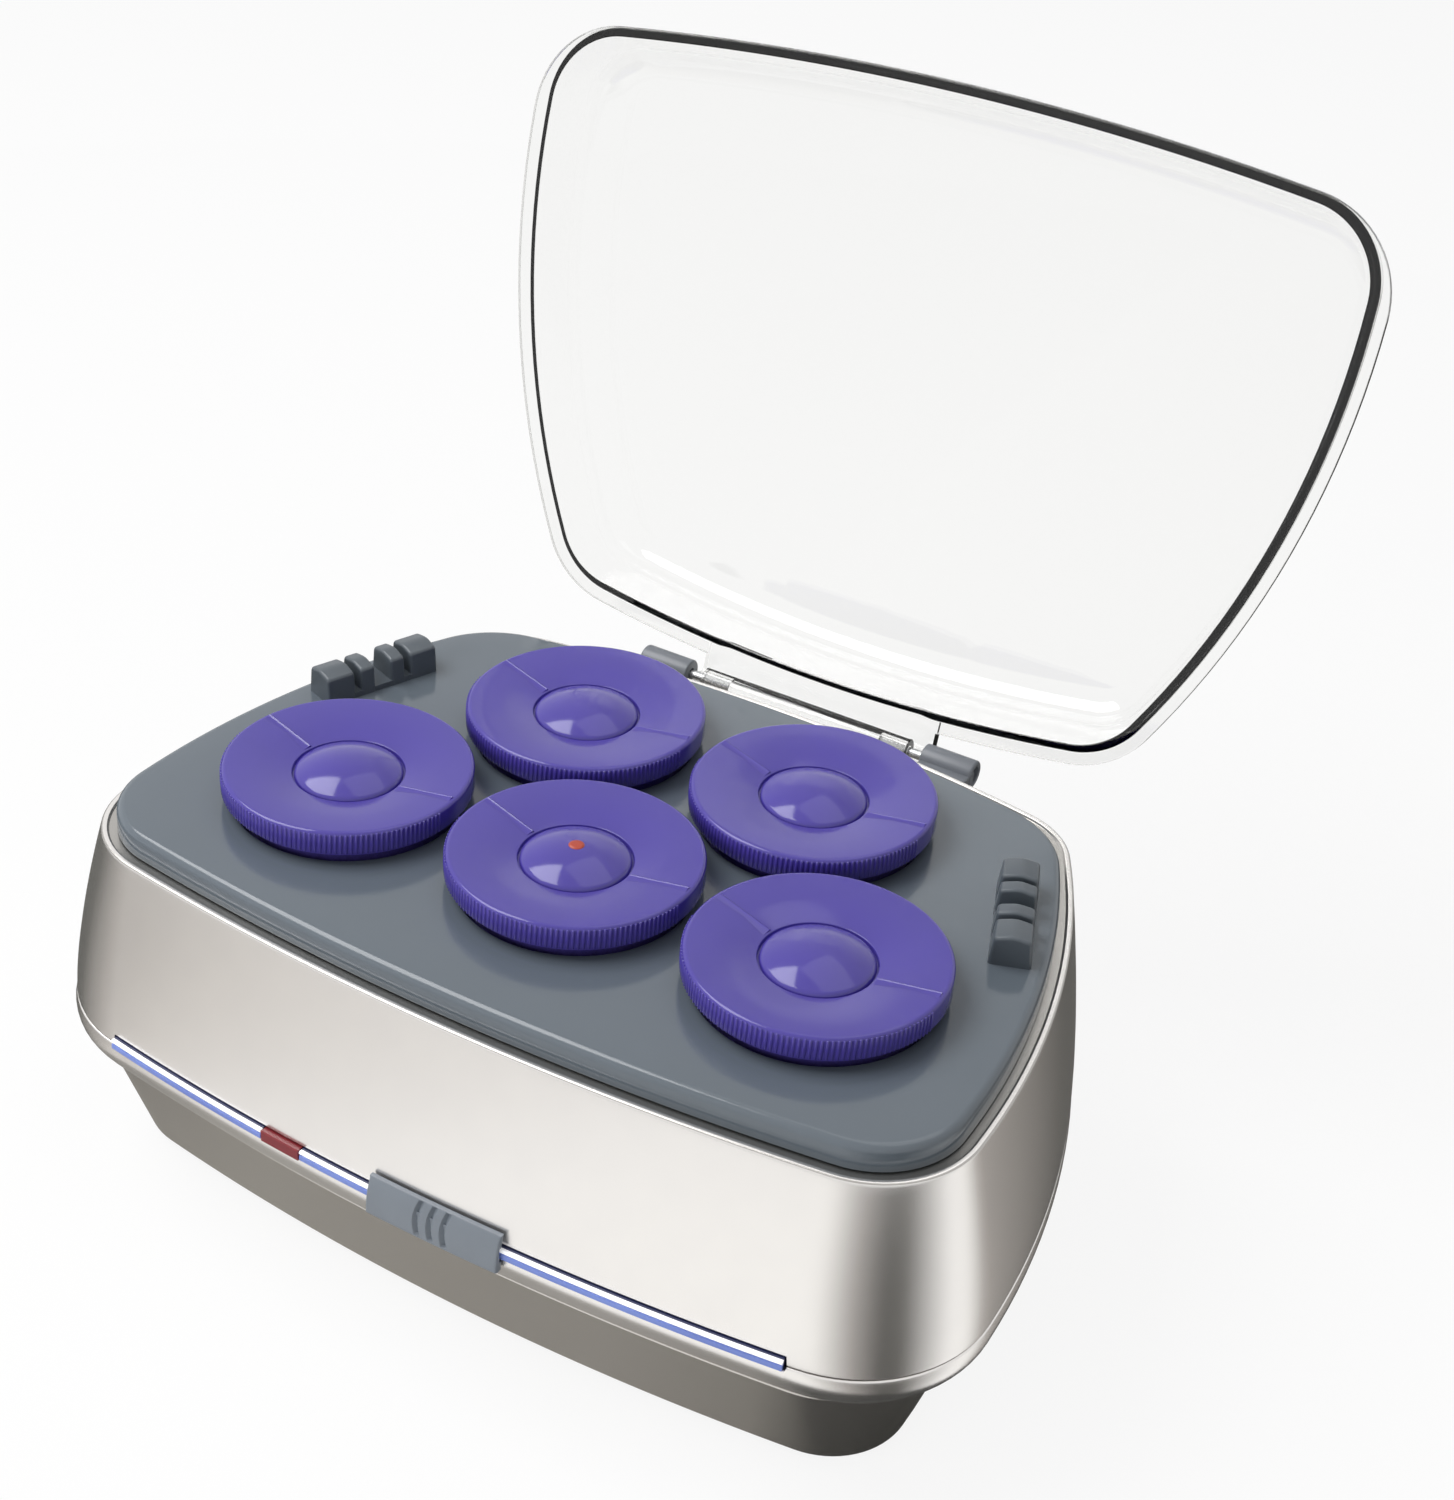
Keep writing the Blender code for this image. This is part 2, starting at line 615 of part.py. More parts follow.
def make_base():
    outer = [BASE.ring(flare, z) for flare, z in base_section()]
    top = JOIN_HEIGHT - GAP / 2
    band_bottom = band_flare(JOIN_HEIGHT)
    slope = BASE_TAPER / (JOIN_HEIGHT - BASE_BOTTOM)
    lip = [
        CASE.ring(band_bottom, top, WALL + GAP),
        CASE.ring(band_bottom, top + LIP_HEIGHT, WALL + GAP),
        CASE.ring(band_bottom, top + LIP_HEIGHT, WALL + GAP + LIP),
        BASE.ring(-slope * LIP_HEIGHT, top - LIP_HEIGHT, 2 * WALL),
    ]
    inner = [BASE.ring(slope * FLOOR - BASE_TAPER, BASE_INSIDE, WALL)]
    base = as_part(skinned(outer + lip + inner, closed=False), "base", "silver_base")
    combine(base, base_bosses(), "UNION")
    combine(base, base_holes(), "DIFFERENCE")


def base_bosses():
    start = BASE_INSIDE - FLOOR / 2
    switch = switch_centre()
    post_y = switch.y + SWITCH_SIZE[1] / 2 - SWITCH_POST_SETBACK
    holder = lamp_holder_centre()
    holder_bottom = holder.z - LAMP_HOLDER_SIZE[2] / 2 - GAP
    bosses = uprights(from_row(CASE_SCREWS), start, JOIN_HEIGHT, BOSS_RADIUS)
    bosses += uprights(from_row(PLATE_SCREWS), start, PLATE_BOTTOM - GAP, BOSS_RADIUS)
    bosses += uprights([(switch.x + side * SWITCH_POST_SPACING / 2, post_y) for side in (-1, 1)],
                       start, SWITCH_BOTTOM - GAP, POST_BOSS_RADIUS)
    bosses += uprights([(holder.x, holder.y)], start, holder_bottom, POST_BOSS_RADIUS)
    return as_cutter(rods(bosses), "base_bosses")


def base_holes():
    below = BASE_BOTTOM - SKIN_OVERSHOOT
    pocket_top = BASE_BOTTOM + SCREW_POCKET_DEPTH
    pockets = uprights(from_row(CASE_SCREWS), below, pocket_top, SCREW_HEAD_RADIUS + GAP)
    pockets += uprights(from_row(FEET), below, BASE_BOTTOM + FOOT_STUD_HEIGHT + GAP, FOOT_STUD_RADIUS + GAP)
    radius = SCREW_RADIUS + GAP
    holes = uprights(from_row(CASE_SCREWS), pocket_top - GAP, JOIN_HEIGHT + SKIN_OVERSHOOT, radius)
    holes += uprights(from_row(PLATE_SCREWS), PLATE_TOP - PLATE_SCREW_LENGTH - GAP, PLATE_TOP, radius)
    base_pockets = as_cutter(rods(pockets), "base_pockets")
    combine(base_pockets, as_cutter(rods(holes), "base_screw_holes"), "UNION")
    return base_pockets


def make_tray():
    skirt_bottom = LEDGE_FLOOR + GAP
    edge = TRAY_EDGE_RADIUS
    rings = [
        TRAY.ring(-WALL, TRAY_UNDERSIDE),
        TRAY.ring(-WALL, skirt_bottom),
        TRAY.ring(0.0, skirt_bottom),
        TRAY.ring(-0.3 * MM, TRAY_TOP - edge),
        TRAY.ring(-edge * 0.45, TRAY_TOP - edge * 0.3),
        TRAY.ring(-edge, TRAY_TOP),
    ]
    tray = as_part(skinned(rings, closed=False), "roller_tray", "grey")
    middle = TRAY_TOP - WALL / 2
    places = ROLLER_PLACES.values()
    tubes = uprights(places, WELL_BOTTOM, middle, WELL_RADIUS + WELL_WALL)
    combine(tray, as_cutter(rods(tubes, CAP_SEGMENTS), "well_tubes"), "UNION")
    bosses = uprights(from_row(CASE_SCREWS), JOIN_HEIGHT + GAP, middle, BOSS_RADIUS)
    combine(tray, as_cutter(rods(bosses), "tray_bosses"), "UNION")
    wells = uprights(places, WELL_BOTTOM - SKIN_OVERSHOOT, TRAY_TOP + SKIN_OVERSHOOT, WELL_RADIUS)
    combine(tray, as_cutter(rods(wells, CAP_SEGMENTS), "wells"), "DIFFERENCE")
    hole_top = BASE_BOTTOM + SCREW_POCKET_DEPTH + CASE_SCREW_LENGTH + GAP
    holes = uprights(from_row(CASE_SCREWS), JOIN_HEIGHT - SKIN_OVERSHOOT, hole_top, SCREW_RADIUS + GAP)
    combine(tray, as_cutter(rods(holes), "tray_screw_holes"), "DIFFERENCE")
    pocket = (RACK_BASE_WIDTH + 2 * GAP, RACK_LENGTH + 2 * GAP, 2 * RACK_SUNK)
    for side in (-1, 1):
        seat = boxes([(Vector((0, 0, 0)), pocket)])
        seat.location = (side * RACK_X, RACK_Y, TRAY_TOP)
        seat.rotation_euler.z = side * math.radians(RACK_TURN_DEG)
        combine(tray, as_cutter(seat, "rack_seat_right" if side > 0 else "rack_seat_left"), "DIFFERENCE")


def make_rack(name, side):
    half_base = RACK_BASE_WIDTH / 2
    half_top = RACK_TOP_WIDTH / 2
    foot = GAP - RACK_SUNK
    top = RACK_HEIGHT - RACK_CROWN
    section = [(-half_base, foot), (half_base, foot), (half_top, top)]
    for x in steps_between(half_top, -half_top, 4)[1:-1]:
        section.append((x, RACK_HEIGHT - RACK_CROWN * (x / half_top) ** 2))
    section.append((-half_top, top))
    rings = [[Vector((x, y, z)) for x, z in section] for y in (-RACK_LENGTH / 2, RACK_LENGTH / 2)]
    rack = as_part(skinned(rings, closed=False), name, "rack_grey")
    rack.location = (side * RACK_X, RACK_Y, TRAY_TOP)
    rack.rotation_euler.z = side * math.radians(RACK_TURN_DEG)
    bevelled(rack, RACK_EDGE_RADIUS)
    fin = (RACK_LENGTH / 2 - RACK_END_FIN - RACK_NARROW_SLOT - RACK_WIDE_SLOT / 2)
    slot_height = RACK_HEIGHT + SKIN_OVERSHOOT - RACK_FLOOR
    slots = []
    for y, width in ((0.0, RACK_WIDE_SLOT),
                     (RACK_WIDE_SLOT / 2 + fin + RACK_NARROW_SLOT / 2, RACK_NARROW_SLOT),
                     (-RACK_WIDE_SLOT / 2 - fin - RACK_NARROW_SLOT / 2, RACK_NARROW_SLOT)):
        size = (RACK_BASE_WIDTH + 2 * SKIN_OVERSHOOT, width, slot_height)
        slots.append((Vector((0, y, RACK_FLOOR + slot_height / 2)), size))
    combine(rack, as_cutter(boxes(slots), name + "_slots", parent=rack), "DIFFERENCE")


# Light bar, lens and slide switch

def bar_section(grow):
    """(flare, z) corners of the light bar, with a bevelled upper edge."""
    back = SHELL_FLARE - WALL + GAP / 2 - grow
    face = SHELL_FLARE + BAR_PROUD + grow
    bottom = SEAM_HEIGHT - BAR_BELOW - grow
    top = SEAM_HEIGHT + BAR_ABOVE + grow
    return ((back, bottom), (face, bottom), (face, top - BAR_BEVEL), (face - BAR_BEVEL, top), (back, top))


def through_section(bottom, top):
    """(flare, z) corners of a slot right through the skin at the parting line."""
    inside = SHELL_FLARE - WALL - GAP / 2
    outside = SHELL_FLARE + SKIN_OVERSHOOT
    return ((inside, bottom), (outside, bottom), (outside, top), (inside, top))


def light_bar_cutter():
    half = BAR_HALF_LENGTH + GAP
    section = through_section(SEAM_HEIGHT - SKIN_OVERSHOOT, SEAM_HEIGHT + BAR_ABOVE + GAP)
    return as_cutter(front_strip(section, -half, half), "bar_slot_in_shell")


def bar_notch_cutter():
    half = BAR_HALF_LENGTH + GAP
    section = through_section(SEAM_HEIGHT - BAR_BELOW - GAP, SEAM_HEIGHT + SKIN_OVERSHOOT)
    return as_cutter(front_strip(section, -half, half), "bar_slot_in_band")


def stem_slot_cutter():
    bottom = SEAM_HEIGHT + BAR_ABOVE
    top = STEM_Z + STEM_HEIGHT / 2 + RUNNING_GAP
    size = (STEM_WIDTH + KNOB_TRAVEL + 2 * RUNNING_GAP, 4 * WALL, top - bottom)
    centre = Vector((KNOB_X - KNOB_TRAVEL / 2, CASE_FRONT - SHELL_FLARE + WALL / 2, (bottom + top) / 2))
    return as_cutter(boxes([(centre, size)]), "stem_slot")


def lamp_window():
    """The window in the band's lip that lets the lamp shine on the lens."""
    size = (LENS_LENGTH - 2 * BAR_WEB, 2 * LIP, BAR_BELOW + BAR_ABOVE)
    lip_y = front_y(LENS_X, SHELL_FLARE - WALL - GAP - LIP / 2)
    centre = Vector((LENS_X, lip_y, SEAM_HEIGHT + BAR_ABOVE / 2 + BAR_WEB / 2))
    return as_cutter(boxes([(centre, size)]), "lamp_window")


def front_y(x, flare):
    """Y of a front face at x, flare outside the case plan."""
    radius = FRONT_RADIUS + flare
    return (CASE_FRONT + FRONT_RADIUS) - math.sqrt(radius ** 2 - x ** 2)


def make_light_bar():
    bar = as_part(front_strip(bar_section(0.0), -BAR_HALF_LENGTH, BAR_HALF_LENGTH), "light_bar", "blue")
    web_face = SHELL_FLARE - WALL + BAR_WEB
    outside = SHELL_FLARE + SKIN_OVERSHOOT
    low = SEAM_HEIGHT - SKIN_OVERSHOOT
    high = SEAM_HEIGHT + SKIN_OVERSHOOT
    section = ((web_face, low), (outside, low), (outside, high), (web_face, high))
    half = LENS_LENGTH / 2 + GAP
    pocket = front_strip(section, LENS_X - half, LENS_X + half)
    combine(bar, as_cutter(pocket, "lens_pocket"), "DIFFERENCE")


def make_lens():
    back = SHELL_FLARE - WALL + BAR_WEB + GAP
    face = SHELL_FLARE + BAR_PROUD + LENS_PROUD
    bottom = SEAM_HEIGHT - BAR_BELOW
    top = SEAM_HEIGHT + BAR_ABOVE
    section = ((back, bottom), (face, bottom), (face, top - BAR_BEVEL), (face - BAR_BEVEL, top), (back, top))
    half = LENS_LENGTH / 2
    as_part(front_strip(section, LENS_X - half, LENS_X + half), "power_lens", "red")


def knob_face(z):
    """How far the knob's face stands outside the case plan at height z."""
    rise = (z - KNOB_BOTTOM) / (KNOB_TOP - KNOB_BOTTOM)
    return SHELL_FLARE + KNOB_PROUD - KNOB_LEAN * rise ** KNOB_LEAN_POWER


def knob_section():
    """(flare, z) corners of the knob, which wraps the bar."""
    over_bar = SHELL_FLARE + BAR_PROUD + RUNNING_GAP
    over_band = SHELL_FLARE + BAND_BULGE + RUNNING_GAP
    bar_top = SEAM_HEIGHT + BAR_ABOVE + RUNNING_GAP
    bar_bottom = SEAM_HEIGHT - BAR_BELOW - RUNNING_GAP
    inner = [(shell_flare(KNOB_TOP) + RUNNING_GAP, KNOB_TOP), (over_band, bar_top), (over_bar, bar_top),
             (over_bar, bar_bottom), (over_band, bar_bottom), (over_band, KNOB_BOTTOM)]
    outer = [(knob_face(z), z) for z in steps_between(KNOB_BOTTOM, KNOB_TOP, 4)]
    return inner + outer


def make_knob():
    slide = empty("power_slide", (KNOB_X, CASE_FRONT - SHELL_FLARE, SEAM_HEIGHT))
    knob = front_strip(knob_section(), KNOB_X - KNOB_WIDTH / 2, KNOB_X + KNOB_WIDTH / 2)
    knob = as_part(move_to_parent(knob, slide), "power_slider", "knob_grey", parent=slide)
    skin = -CASE_FRONT + (knob_face(STEM_Z) + shell_flare(STEM_Z) + RUNNING_GAP) / 2
    tip = -switch_face_y() - STEM_REACH
    stem = boxes([(Vector((KNOB_X, -(skin + tip) / 2, STEM_Z)), (STEM_WIDTH, skin - tip, STEM_HEIGHT))])
    combine(knob, as_cutter(move_to_parent(stem, slide), "slider_stem", parent=slide), "UNION")


def move_to_parent(obj, parent):
    """Re-bases a mesh made in world places onto its parent's origin."""
    obj.data.transform(Matrix.Translation(-Vector(parent.location)))
    return obj


def switch_face_y():
    return front_y(SWITCH_SIZE[0] / 2, SHELL_FLARE - WALL - GAP - LIP) + GAP


def switch_centre():
    y = switch_face_y() + SWITCH_SIZE[1] / 2
    return Vector((KNOB_X - KNOB_TRAVEL / 2, y, SWITCH_BOTTOM + SWITCH_SIZE[2] / 2))


def make_switch():
    body = as_part(boxes([(switch_centre(), SWITCH_SIZE)]), "switch_body", "black")
    travel_width = STEM_WIDTH + KNOB_TRAVEL + 2 * RUNNING_GAP
    size = (travel_width, 2 * (STEM_REACH + RUNNING_GAP), STEM_HEIGHT + 2 * RUNNING_GAP)
    mouth = Vector((switch_centre().x, switch_face_y(), STEM_Z))
    combine(body, as_cutter(boxes([(mouth, size)]), "switch_mouth"), "DIFFERENCE")


def lamp_tip_y():
    return front_y(LENS_X, SHELL_FLARE - WALL - GAP - LIP) + GAP


def lamp_holder_centre():
    y = lamp_tip_y() + LAMP_LENGTH - LAMP_HOLDER_SIZE[1] / 2
    return Vector((LENS_X, y, SEAM_HEIGHT))


def make_lamp():
    tip = Vector((LENS_X, lamp_tip_y(), SEAM_HEIGHT))
    back = tip + Vector((0, LAMP_LENGTH - CAP_SKIN, 0))
    as_part(rods([(tip, back, LAMP_RADIUS)]), "indicator_lamp", "red")
    holder = as_part(boxes([(lamp_holder_centre(), LAMP_HOLDER_SIZE)]), "lamp_holder", "white")
    bore = rods([(tip - Vector((0, GAP, 0)), back + Vector((0, GAP, 0)), LAMP_RADIUS + GAP)])
    combine(holder, as_cutter(bore, "lamp_bore"), "DIFFERENCE")


# Heater

def plate_outline():
    """The trapezium of the outer posts, grown by the plate's margin."""
    corners = [ROLLER_PLACES[name] for name in ("roller_1", "roller_3", "roller_5", "roller_4")]
    outline = []
    for i, corner in enumerate(corners):
        incoming = corner - corners[i - 1]
        outgoing = corners[(i + 1) % len(corners)] - corner
        start = heading(incoming) - math.pi / 2
        turn = (heading(outgoing) - heading(incoming)) % math.tau
        outline += [point_on_circle(corner, PLATE_MARGIN, start + turn * step / 4) for step in range(5)]
    return outline


def make_heater():
    plate = as_part(prism_along_z(plate_outline(), PLATE_BOTTOM, PLATE_TOP), "heater_plate", "aluminium")
    holes = uprights(from_row(PLATE_SCREWS), PLATE_BOTTOM - SKIN_OVERSHOOT, PLATE_TOP + SKIN_OVERSHOOT,
                     SCREW_RADIUS + GAP)
    combine(plate, as_cutter(rods(holes), "plate_holes"), "DIFFERENCE")
    under = PLATE_BOTTOM - GAP
    element_centre = Vector((0, ELEMENT_Y, under - ELEMENT_SIZE[2] / 2))
    bevelled(as_part(boxes([(element_centre, ELEMENT_SIZE)]), "heating_element", "white"), 0.6 * MM, 1)
    low = under - THERMOSTAT_HEIGHT
    thermostat = turned(((0.0, under), (THERMOSTAT_RADIUS, under), (THERMOSTAT_RADIUS, low + CAP_SKIN),
                         (THERMOSTAT_RADIUS - CAP_SKIN, low), (0.0, low)), POST_SEGMENTS)
    thermostat.location.y = ROW_Y
    as_part(thermostat, "thermostat", "steel")
    start = Vector((FUSE_X, ROW_Y - FUSE_LENGTH / 2, under - FUSE_RADIUS))
    as_part(rods([(start, start + Vector((0, FUSE_LENGTH, 0)), FUSE_RADIUS)]), "thermal_fuse", "white")


def make_posts():
    base_top = POST_BOTTOM + POST_BASE_HEIGHT
    profile = (
        (0.0, POST_TOP),
        (POST_RADIUS - POST_NOSE, POST_TOP),
        (POST_RADIUS, POST_TOP - POST_NOSE),
        (POST_RADIUS, base_top),
        (POST_BASE_RADIUS, base_top),
        (POST_BASE_RADIUS, POST_BOTTOM),
        (0.0, POST_BOTTOM),
    )
    for number, place in enumerate(ROLLER_PLACES.values(), start=1):
        post = turned(profile, POST_SEGMENTS)
        post.location = (place.x, place.y, 0.0)
        as_part(post, "heating_post_%d" % number, "aluminium")


# Rollers

def dome_z(radius):
    """Height of the cap's dome at a radius."""
    edge_drop = DOME_RISE + CAP_DISH + CAP_WELL_DEPTH
    sphere = (DOME_RADIUS ** 2 + edge_drop ** 2) / (2 * edge_drop)
    return CAP_TOP + DOME_RISE - sphere + math.sqrt(sphere ** 2 - radius ** 2)


def cap_profile():
    well_floor = CAP_TOP - CAP_DISH - CAP_WELL_DEPTH
    collar_outside = BARREL_RADIUS - BARREL_WALL - GAP
    collar_inside = collar_outside - CAP_SKIN
    edge = 0.7 * MM
    return (
        (0.0, CAP_TOP + DOME_RISE),
        (DOME_RADIUS * 0.4, dome_z(DOME_RADIUS * 0.4)),
        (DOME_RADIUS * 0.75, dome_z(DOME_RADIUS * 0.75)),
        (DOME_RADIUS, well_floor),
        (CAP_WELL_RADIUS - 0.5 * MM, well_floor),
        (CAP_WELL_RADIUS, CAP_TOP - CAP_DISH),
        (CAP_RADIUS - edge, CAP_TOP),
        (CAP_RADIUS, CAP_TOP - edge),
        (CAP_RADIUS, CAP_TOP - CAP_BAND),
        (CAP_RADIUS - CAP_LIP_INSET, CAP_TOP - CAP_BAND),
        (CAP_RADIUS - CAP_LIP_INSET, CAP_UNDERSIDE),
        (collar_outside, CAP_UNDERSIDE),
        (collar_outside, CAP_UNDERSIDE - CAP_COLLAR),
        (collar_inside, CAP_UNDERSIDE - CAP_COLLAR),
        (collar_inside, CAP_UNDERSIDE + CAP_SKIN),
        (CAP_WELL_RADIUS + CAP_SKIN, CAP_TOP - CAP_DISH - CAP_SKIN),
        (CAP_WELL_RADIUS, well_floor - CAP_SKIN),
        (DOME_RADIUS * 0.75, well_floor - CAP_SKIN / 2),
        (0.0, CAP_TOP + DOME_RISE - CAP_SKIN),
    )


def barrel_profile():
    top = CAP_UNDERSIDE - GAP
    inside = BARREL_RADIUS - BARREL_WALL
    return (
        (BARREL_RADIUS, top),
        (BARREL_RADIUS, ROLLER_BOTTOM),
        (CORE_BORE, ROLLER_BOTTOM),
        (CORE_BORE, ROLLER_BOTTOM + BARREL_FLANGE),
        (inside, ROLLER_BOTTOM + BARREL_FLANGE),
        (inside, top),
    )


def core_profile():
    tube = CORE_BORE + CORE_WALL
    return (
        (0.0, CORE_TOP),
        (CORE_RADIUS, CORE_TOP),
        (CORE_RADIUS, CORE_TOP - CORE_FLANGE),
        (tube, CORE_TOP - CORE_FLANGE),
        (tube, CORE_BOTTOM + CORE_FLANGE),
        (CORE_RADIUS, CORE_BOTTOM + CORE_FLANGE),
        (CORE_RADIUS, CORE_BOTTOM),
        (CORE_BORE, CORE_BOTTOM),
        (CORE_BORE, CORE_TOP - CORE_FLANGE),
        (0.0, CORE_TOP - CORE_FLANGE),
    )


def make_rollers():
    for name, place in ROLLER_PLACES.items():
        axis = empty(name + "_lift", (place.x, place.y, 0.0))
        cap = as_part(turned(cap_profile(), CAP_SEGMENTS), name + "_cap", "purple", parent=axis)
        barrel = turned(barrel_profile(), CAP_SEGMENTS, ring=True)
        as_part(barrel, name + "_barrel", "velvet", parent=axis)
        as_part(turned(core_profile(), POST_SEGMENTS), name + "_core", "aluminium", parent=axis)
        if name == "roller_2":
            make_ready_dot(cap, axis)


def make_ready_dot(cap, axis):
    apex = CAP_TOP + DOME_RISE
    bottom = apex + DOT_PROUD - DOT_HEIGHT
    seat = rods([((0, 0, bottom - GAP), (0, 0, apex + SKIN_OVERSHOOT), DOT_RADIUS + GAP)])
    combine(cap, as_cutter(seat, "dot_seat", parent=axis), "DIFFERENCE")
    profile = ((0.0, apex + DOT_PROUD), (DOT_RADIUS * 0.7, apex + DOT_PROUD * 0.8), (DOT_RADIUS, apex),
               (DOT_RADIUS, bottom), (0.0, bottom))
    dot = turned(profile, SMALL_SEGMENTS)
    as_part(dot, "ready_dot", "dot", parent=axis)


# Lid and hinge

def lid_fillet(radius, shoulder, z):
    """(inset, z) points round the lid's upper edge, from the wall to the panel."""
    angles = [math.radians(degrees) for degrees in (0.0, 30.0, 60.0, 90.0)]
    return [(shoulder + LID_FILLET - radius * math.cos(a), z + radius * math.sin(a)) for a in angles]


def lid_rings():
    """From the inside of the panel down to the rim, round the lip and up the outside."""
    rim = LEDGE_HEIGHT + GAP
    lip_top = rim + LID_LIP_HEIGHT
    top = LEDGE_HEIGHT + LID_HEIGHT
    fillet_bottom = top - LID_FILLET
    shoulder = LID_DRAFT * (fillet_bottom - lip_top) / (top - lip_top)
    inner_fillet = lid_fillet(LID_FILLET - LID_WALL, shoulder, fillet_bottom)
    rings = [LID.ring(0.0, z, inset) for inset, z in reversed(inner_fillet)]
    rings += [LID.ring(0.0, rim, LID_WALL), LID_EDGE.ring(0.0, rim)]
    rings += [LID_EDGE.ring(0.0, lip_top), LID.ring(0.0, lip_top)]
    rings += [LID.ring(0.0, z, inset) for inset, z in lid_fillet(LID_FILLET, shoulder, fillet_bottom)]
    return rings


def make_lid():
    hinge = empty("lid_hinge", (0.0, HINGE_Y, HINGE_Z), turn_x=-math.radians(LID_OPEN_DEG))
    cover = move_to_parent(skinned(lid_rings(), closed=False), hinge)
    lid = as_part(cover, "lid", "clear", parent=hinge)
    rim = LEDGE_HEIGHT + GAP
    root = CASE_BACK + LID_BACK_OVERHANG - LID_WALL / 2
    plate_top = rim + LID_LIP_HEIGHT + TAB_THICKNESS / 2
    reach = HINGE_Y + TAB_BARREL_RADIUS - TAB_THICKNESS / 2
    drop = HINGE_Z + GAP
    inner_y = reach - TAB_THICKNESS
    plate = prism_along_x(((root, rim), (root, plate_top), (HINGE_Y - TAB_THICKNESS / 2, plate_top),
                           (reach, plate_top - TAB_THICKNESS), (reach, drop), (inner_y, drop),
                           (inner_y, rim)), -TAB_HALF_WIDTH, TAB_HALF_WIDTH)
    combine(lid, as_cutter(move_to_parent(plate, hinge), "tab_plate", parent=hinge), "UNION")
    barrel = rods([on_hinge(-TAB_BARREL_HALF_WIDTH, TAB_BARREL_HALF_WIDTH, TAB_BARREL_RADIUS)])
    combine(lid, as_cutter(move_to_parent(barrel, hinge), "tab_barrel", parent=hinge), "UNION")
    inner_end = TAB_BARREL_HALF_WIDTH - TAB_BORE_DEPTH
    bores = [on_hinge(side * inner_end, side * (TAB_HALF_WIDTH + GAP), HINGE_PIN_RADIUS + GAP)
             for side in (-1, 1)]
    combine(lid, as_cutter(move_to_parent(rods(bores), hinge), "tab_bores", parent=hinge), "DIFFERENCE")


def on_hinge(x_from, x_to, radius):
    """A rod on the hinge line, for rods()."""
    return (x_from, HINGE_Y, HINGE_Z), (x_to, HINGE_Y, HINGE_Z), radius


def arm_heights(grow):
    return HINGE_Z - KNUCKLE_ARM_BELOW - grow, HINGE_Z + KNUCKLE_ARM_ABOVE + grow


def back_y(x, z, inset=0.0):
    """Y of the shell's back face at x and z, or of a face that lies inset inside it."""
    radius = BACK_RADIUS + BACK_SPREAD * shell_flare(z) - inset
    return CASE_BACK - BACK_RADIUS + math.sqrt(radius ** 2 - x ** 2)


def back_wall_inside(x):
    """Y of the shell's inner back face at x, where the knuckle's plate comes nearest to it."""
    return back_y(x, HINGE_Z + KNUCKLE_ARM_ABOVE, WALL)


def knuckle_span():
    start = TAB_HALF_WIDTH + RUNNING_GAP
    return start, start + KNUCKLE_LENGTH


def hinge_slot_cutter():
    near, far = knuckle_span()
    low, high = arm_heights(GAP)
    size = (far - near + 2 * GAP, 4 * (WALL + GAP), high - low)
    y = back_wall_inside(far) + WALL / 2
    slots = [(Vector((side * (near + far) / 2, y, (low + high) / 2)), size) for side in (-1, 1)]
    return as_cutter(boxes(slots), "hinge_slots")


def make_hinge():
    near, far = knuckle_span()
    low, high = arm_heights(0.0)
    plate_face = back_wall_inside(far) - GAP
    plate_back = plate_face - KNUCKLE_PLATE_THICKNESS
    for side, label in ((-1, "left"), (1, "right")):
        turn = rods([on_hinge(side * near, side * far, KNUCKLE_RADIUS)])
        knuckle = as_part(turn, "hinge_knuckle_" + label, "knuckle_grey")
        middle = side * (near + far) / 2
        arm = (Vector((middle, (plate_back + HINGE_Y) / 2, (low + high) / 2)),
               (far - near - GAP, HINGE_Y - plate_back, high - low))
        plate = (Vector((middle, (plate_face + plate_back) / 2, high - KNUCKLE_PLATE_DROP / 2)),
                 (far - near, KNUCKLE_PLATE_THICKNESS, KNUCKLE_PLATE_DROP))
        combine(knuckle, as_cutter(boxes([arm]), "knuckle_arm_" + label), "UNION")
        combine(knuckle, as_cutter(boxes([plate]), "knuckle_plate_" + label), "UNION")
        bore = rods([on_hinge(side * (near - GAP), side * (far + GAP), HINGE_PIN_RADIUS + GAP)])
        combine(knuckle, as_cutter(bore, "knuckle_bore_" + label), "DIFFERENCE")
        inner_end = TAB_BARREL_HALF_WIDTH - TAB_BORE_DEPTH + GAP
        pin = rods([on_hinge(side * inner_end, side * (far - PIN_RECESS), HINGE_PIN_RADIUS)])
        as_part(pin, "hinge_pin_" + label, "steel")


# Fasteners, feet, inlet and leads

def screw_profile(length):
    """Head at the top, shank down from z = 0."""
    return ((0.0, SCREW_HEAD_HEIGHT), (SCREW_HEAD_RADIUS * 0.8, SCREW_HEAD_HEIGHT),
            (SCREW_HEAD_RADIUS, SCREW_HEAD_HEIGHT * 0.6), (SCREW_HEAD_RADIUS, 0.0), (SCREW_RADIUS, 0.0),
            (SCREW_RADIUS, -length), (0.0, -length))


def make_screws():
    for number, (x, y) in enumerate(from_row(CASE_SCREWS), start=1):
        screw = turned(screw_profile(CASE_SCREW_LENGTH), SMALL_SEGMENTS)
        screw.location = (x, y, BASE_BOTTOM + SCREW_POCKET_DEPTH - GAP)
        screw.rotation_euler.x = math.pi
        as_part(screw, "case_screw_%d" % number, "steel")
    for number, (x, y) in enumerate(from_row(PLATE_SCREWS), start=1):
        screw = turned(screw_profile(PLATE_SCREW_LENGTH), SMALL_SEGMENTS)
        screw.location = (x, y, PLATE_TOP + GAP)
        as_part(screw, "plate_screw_%d" % number, "steel")


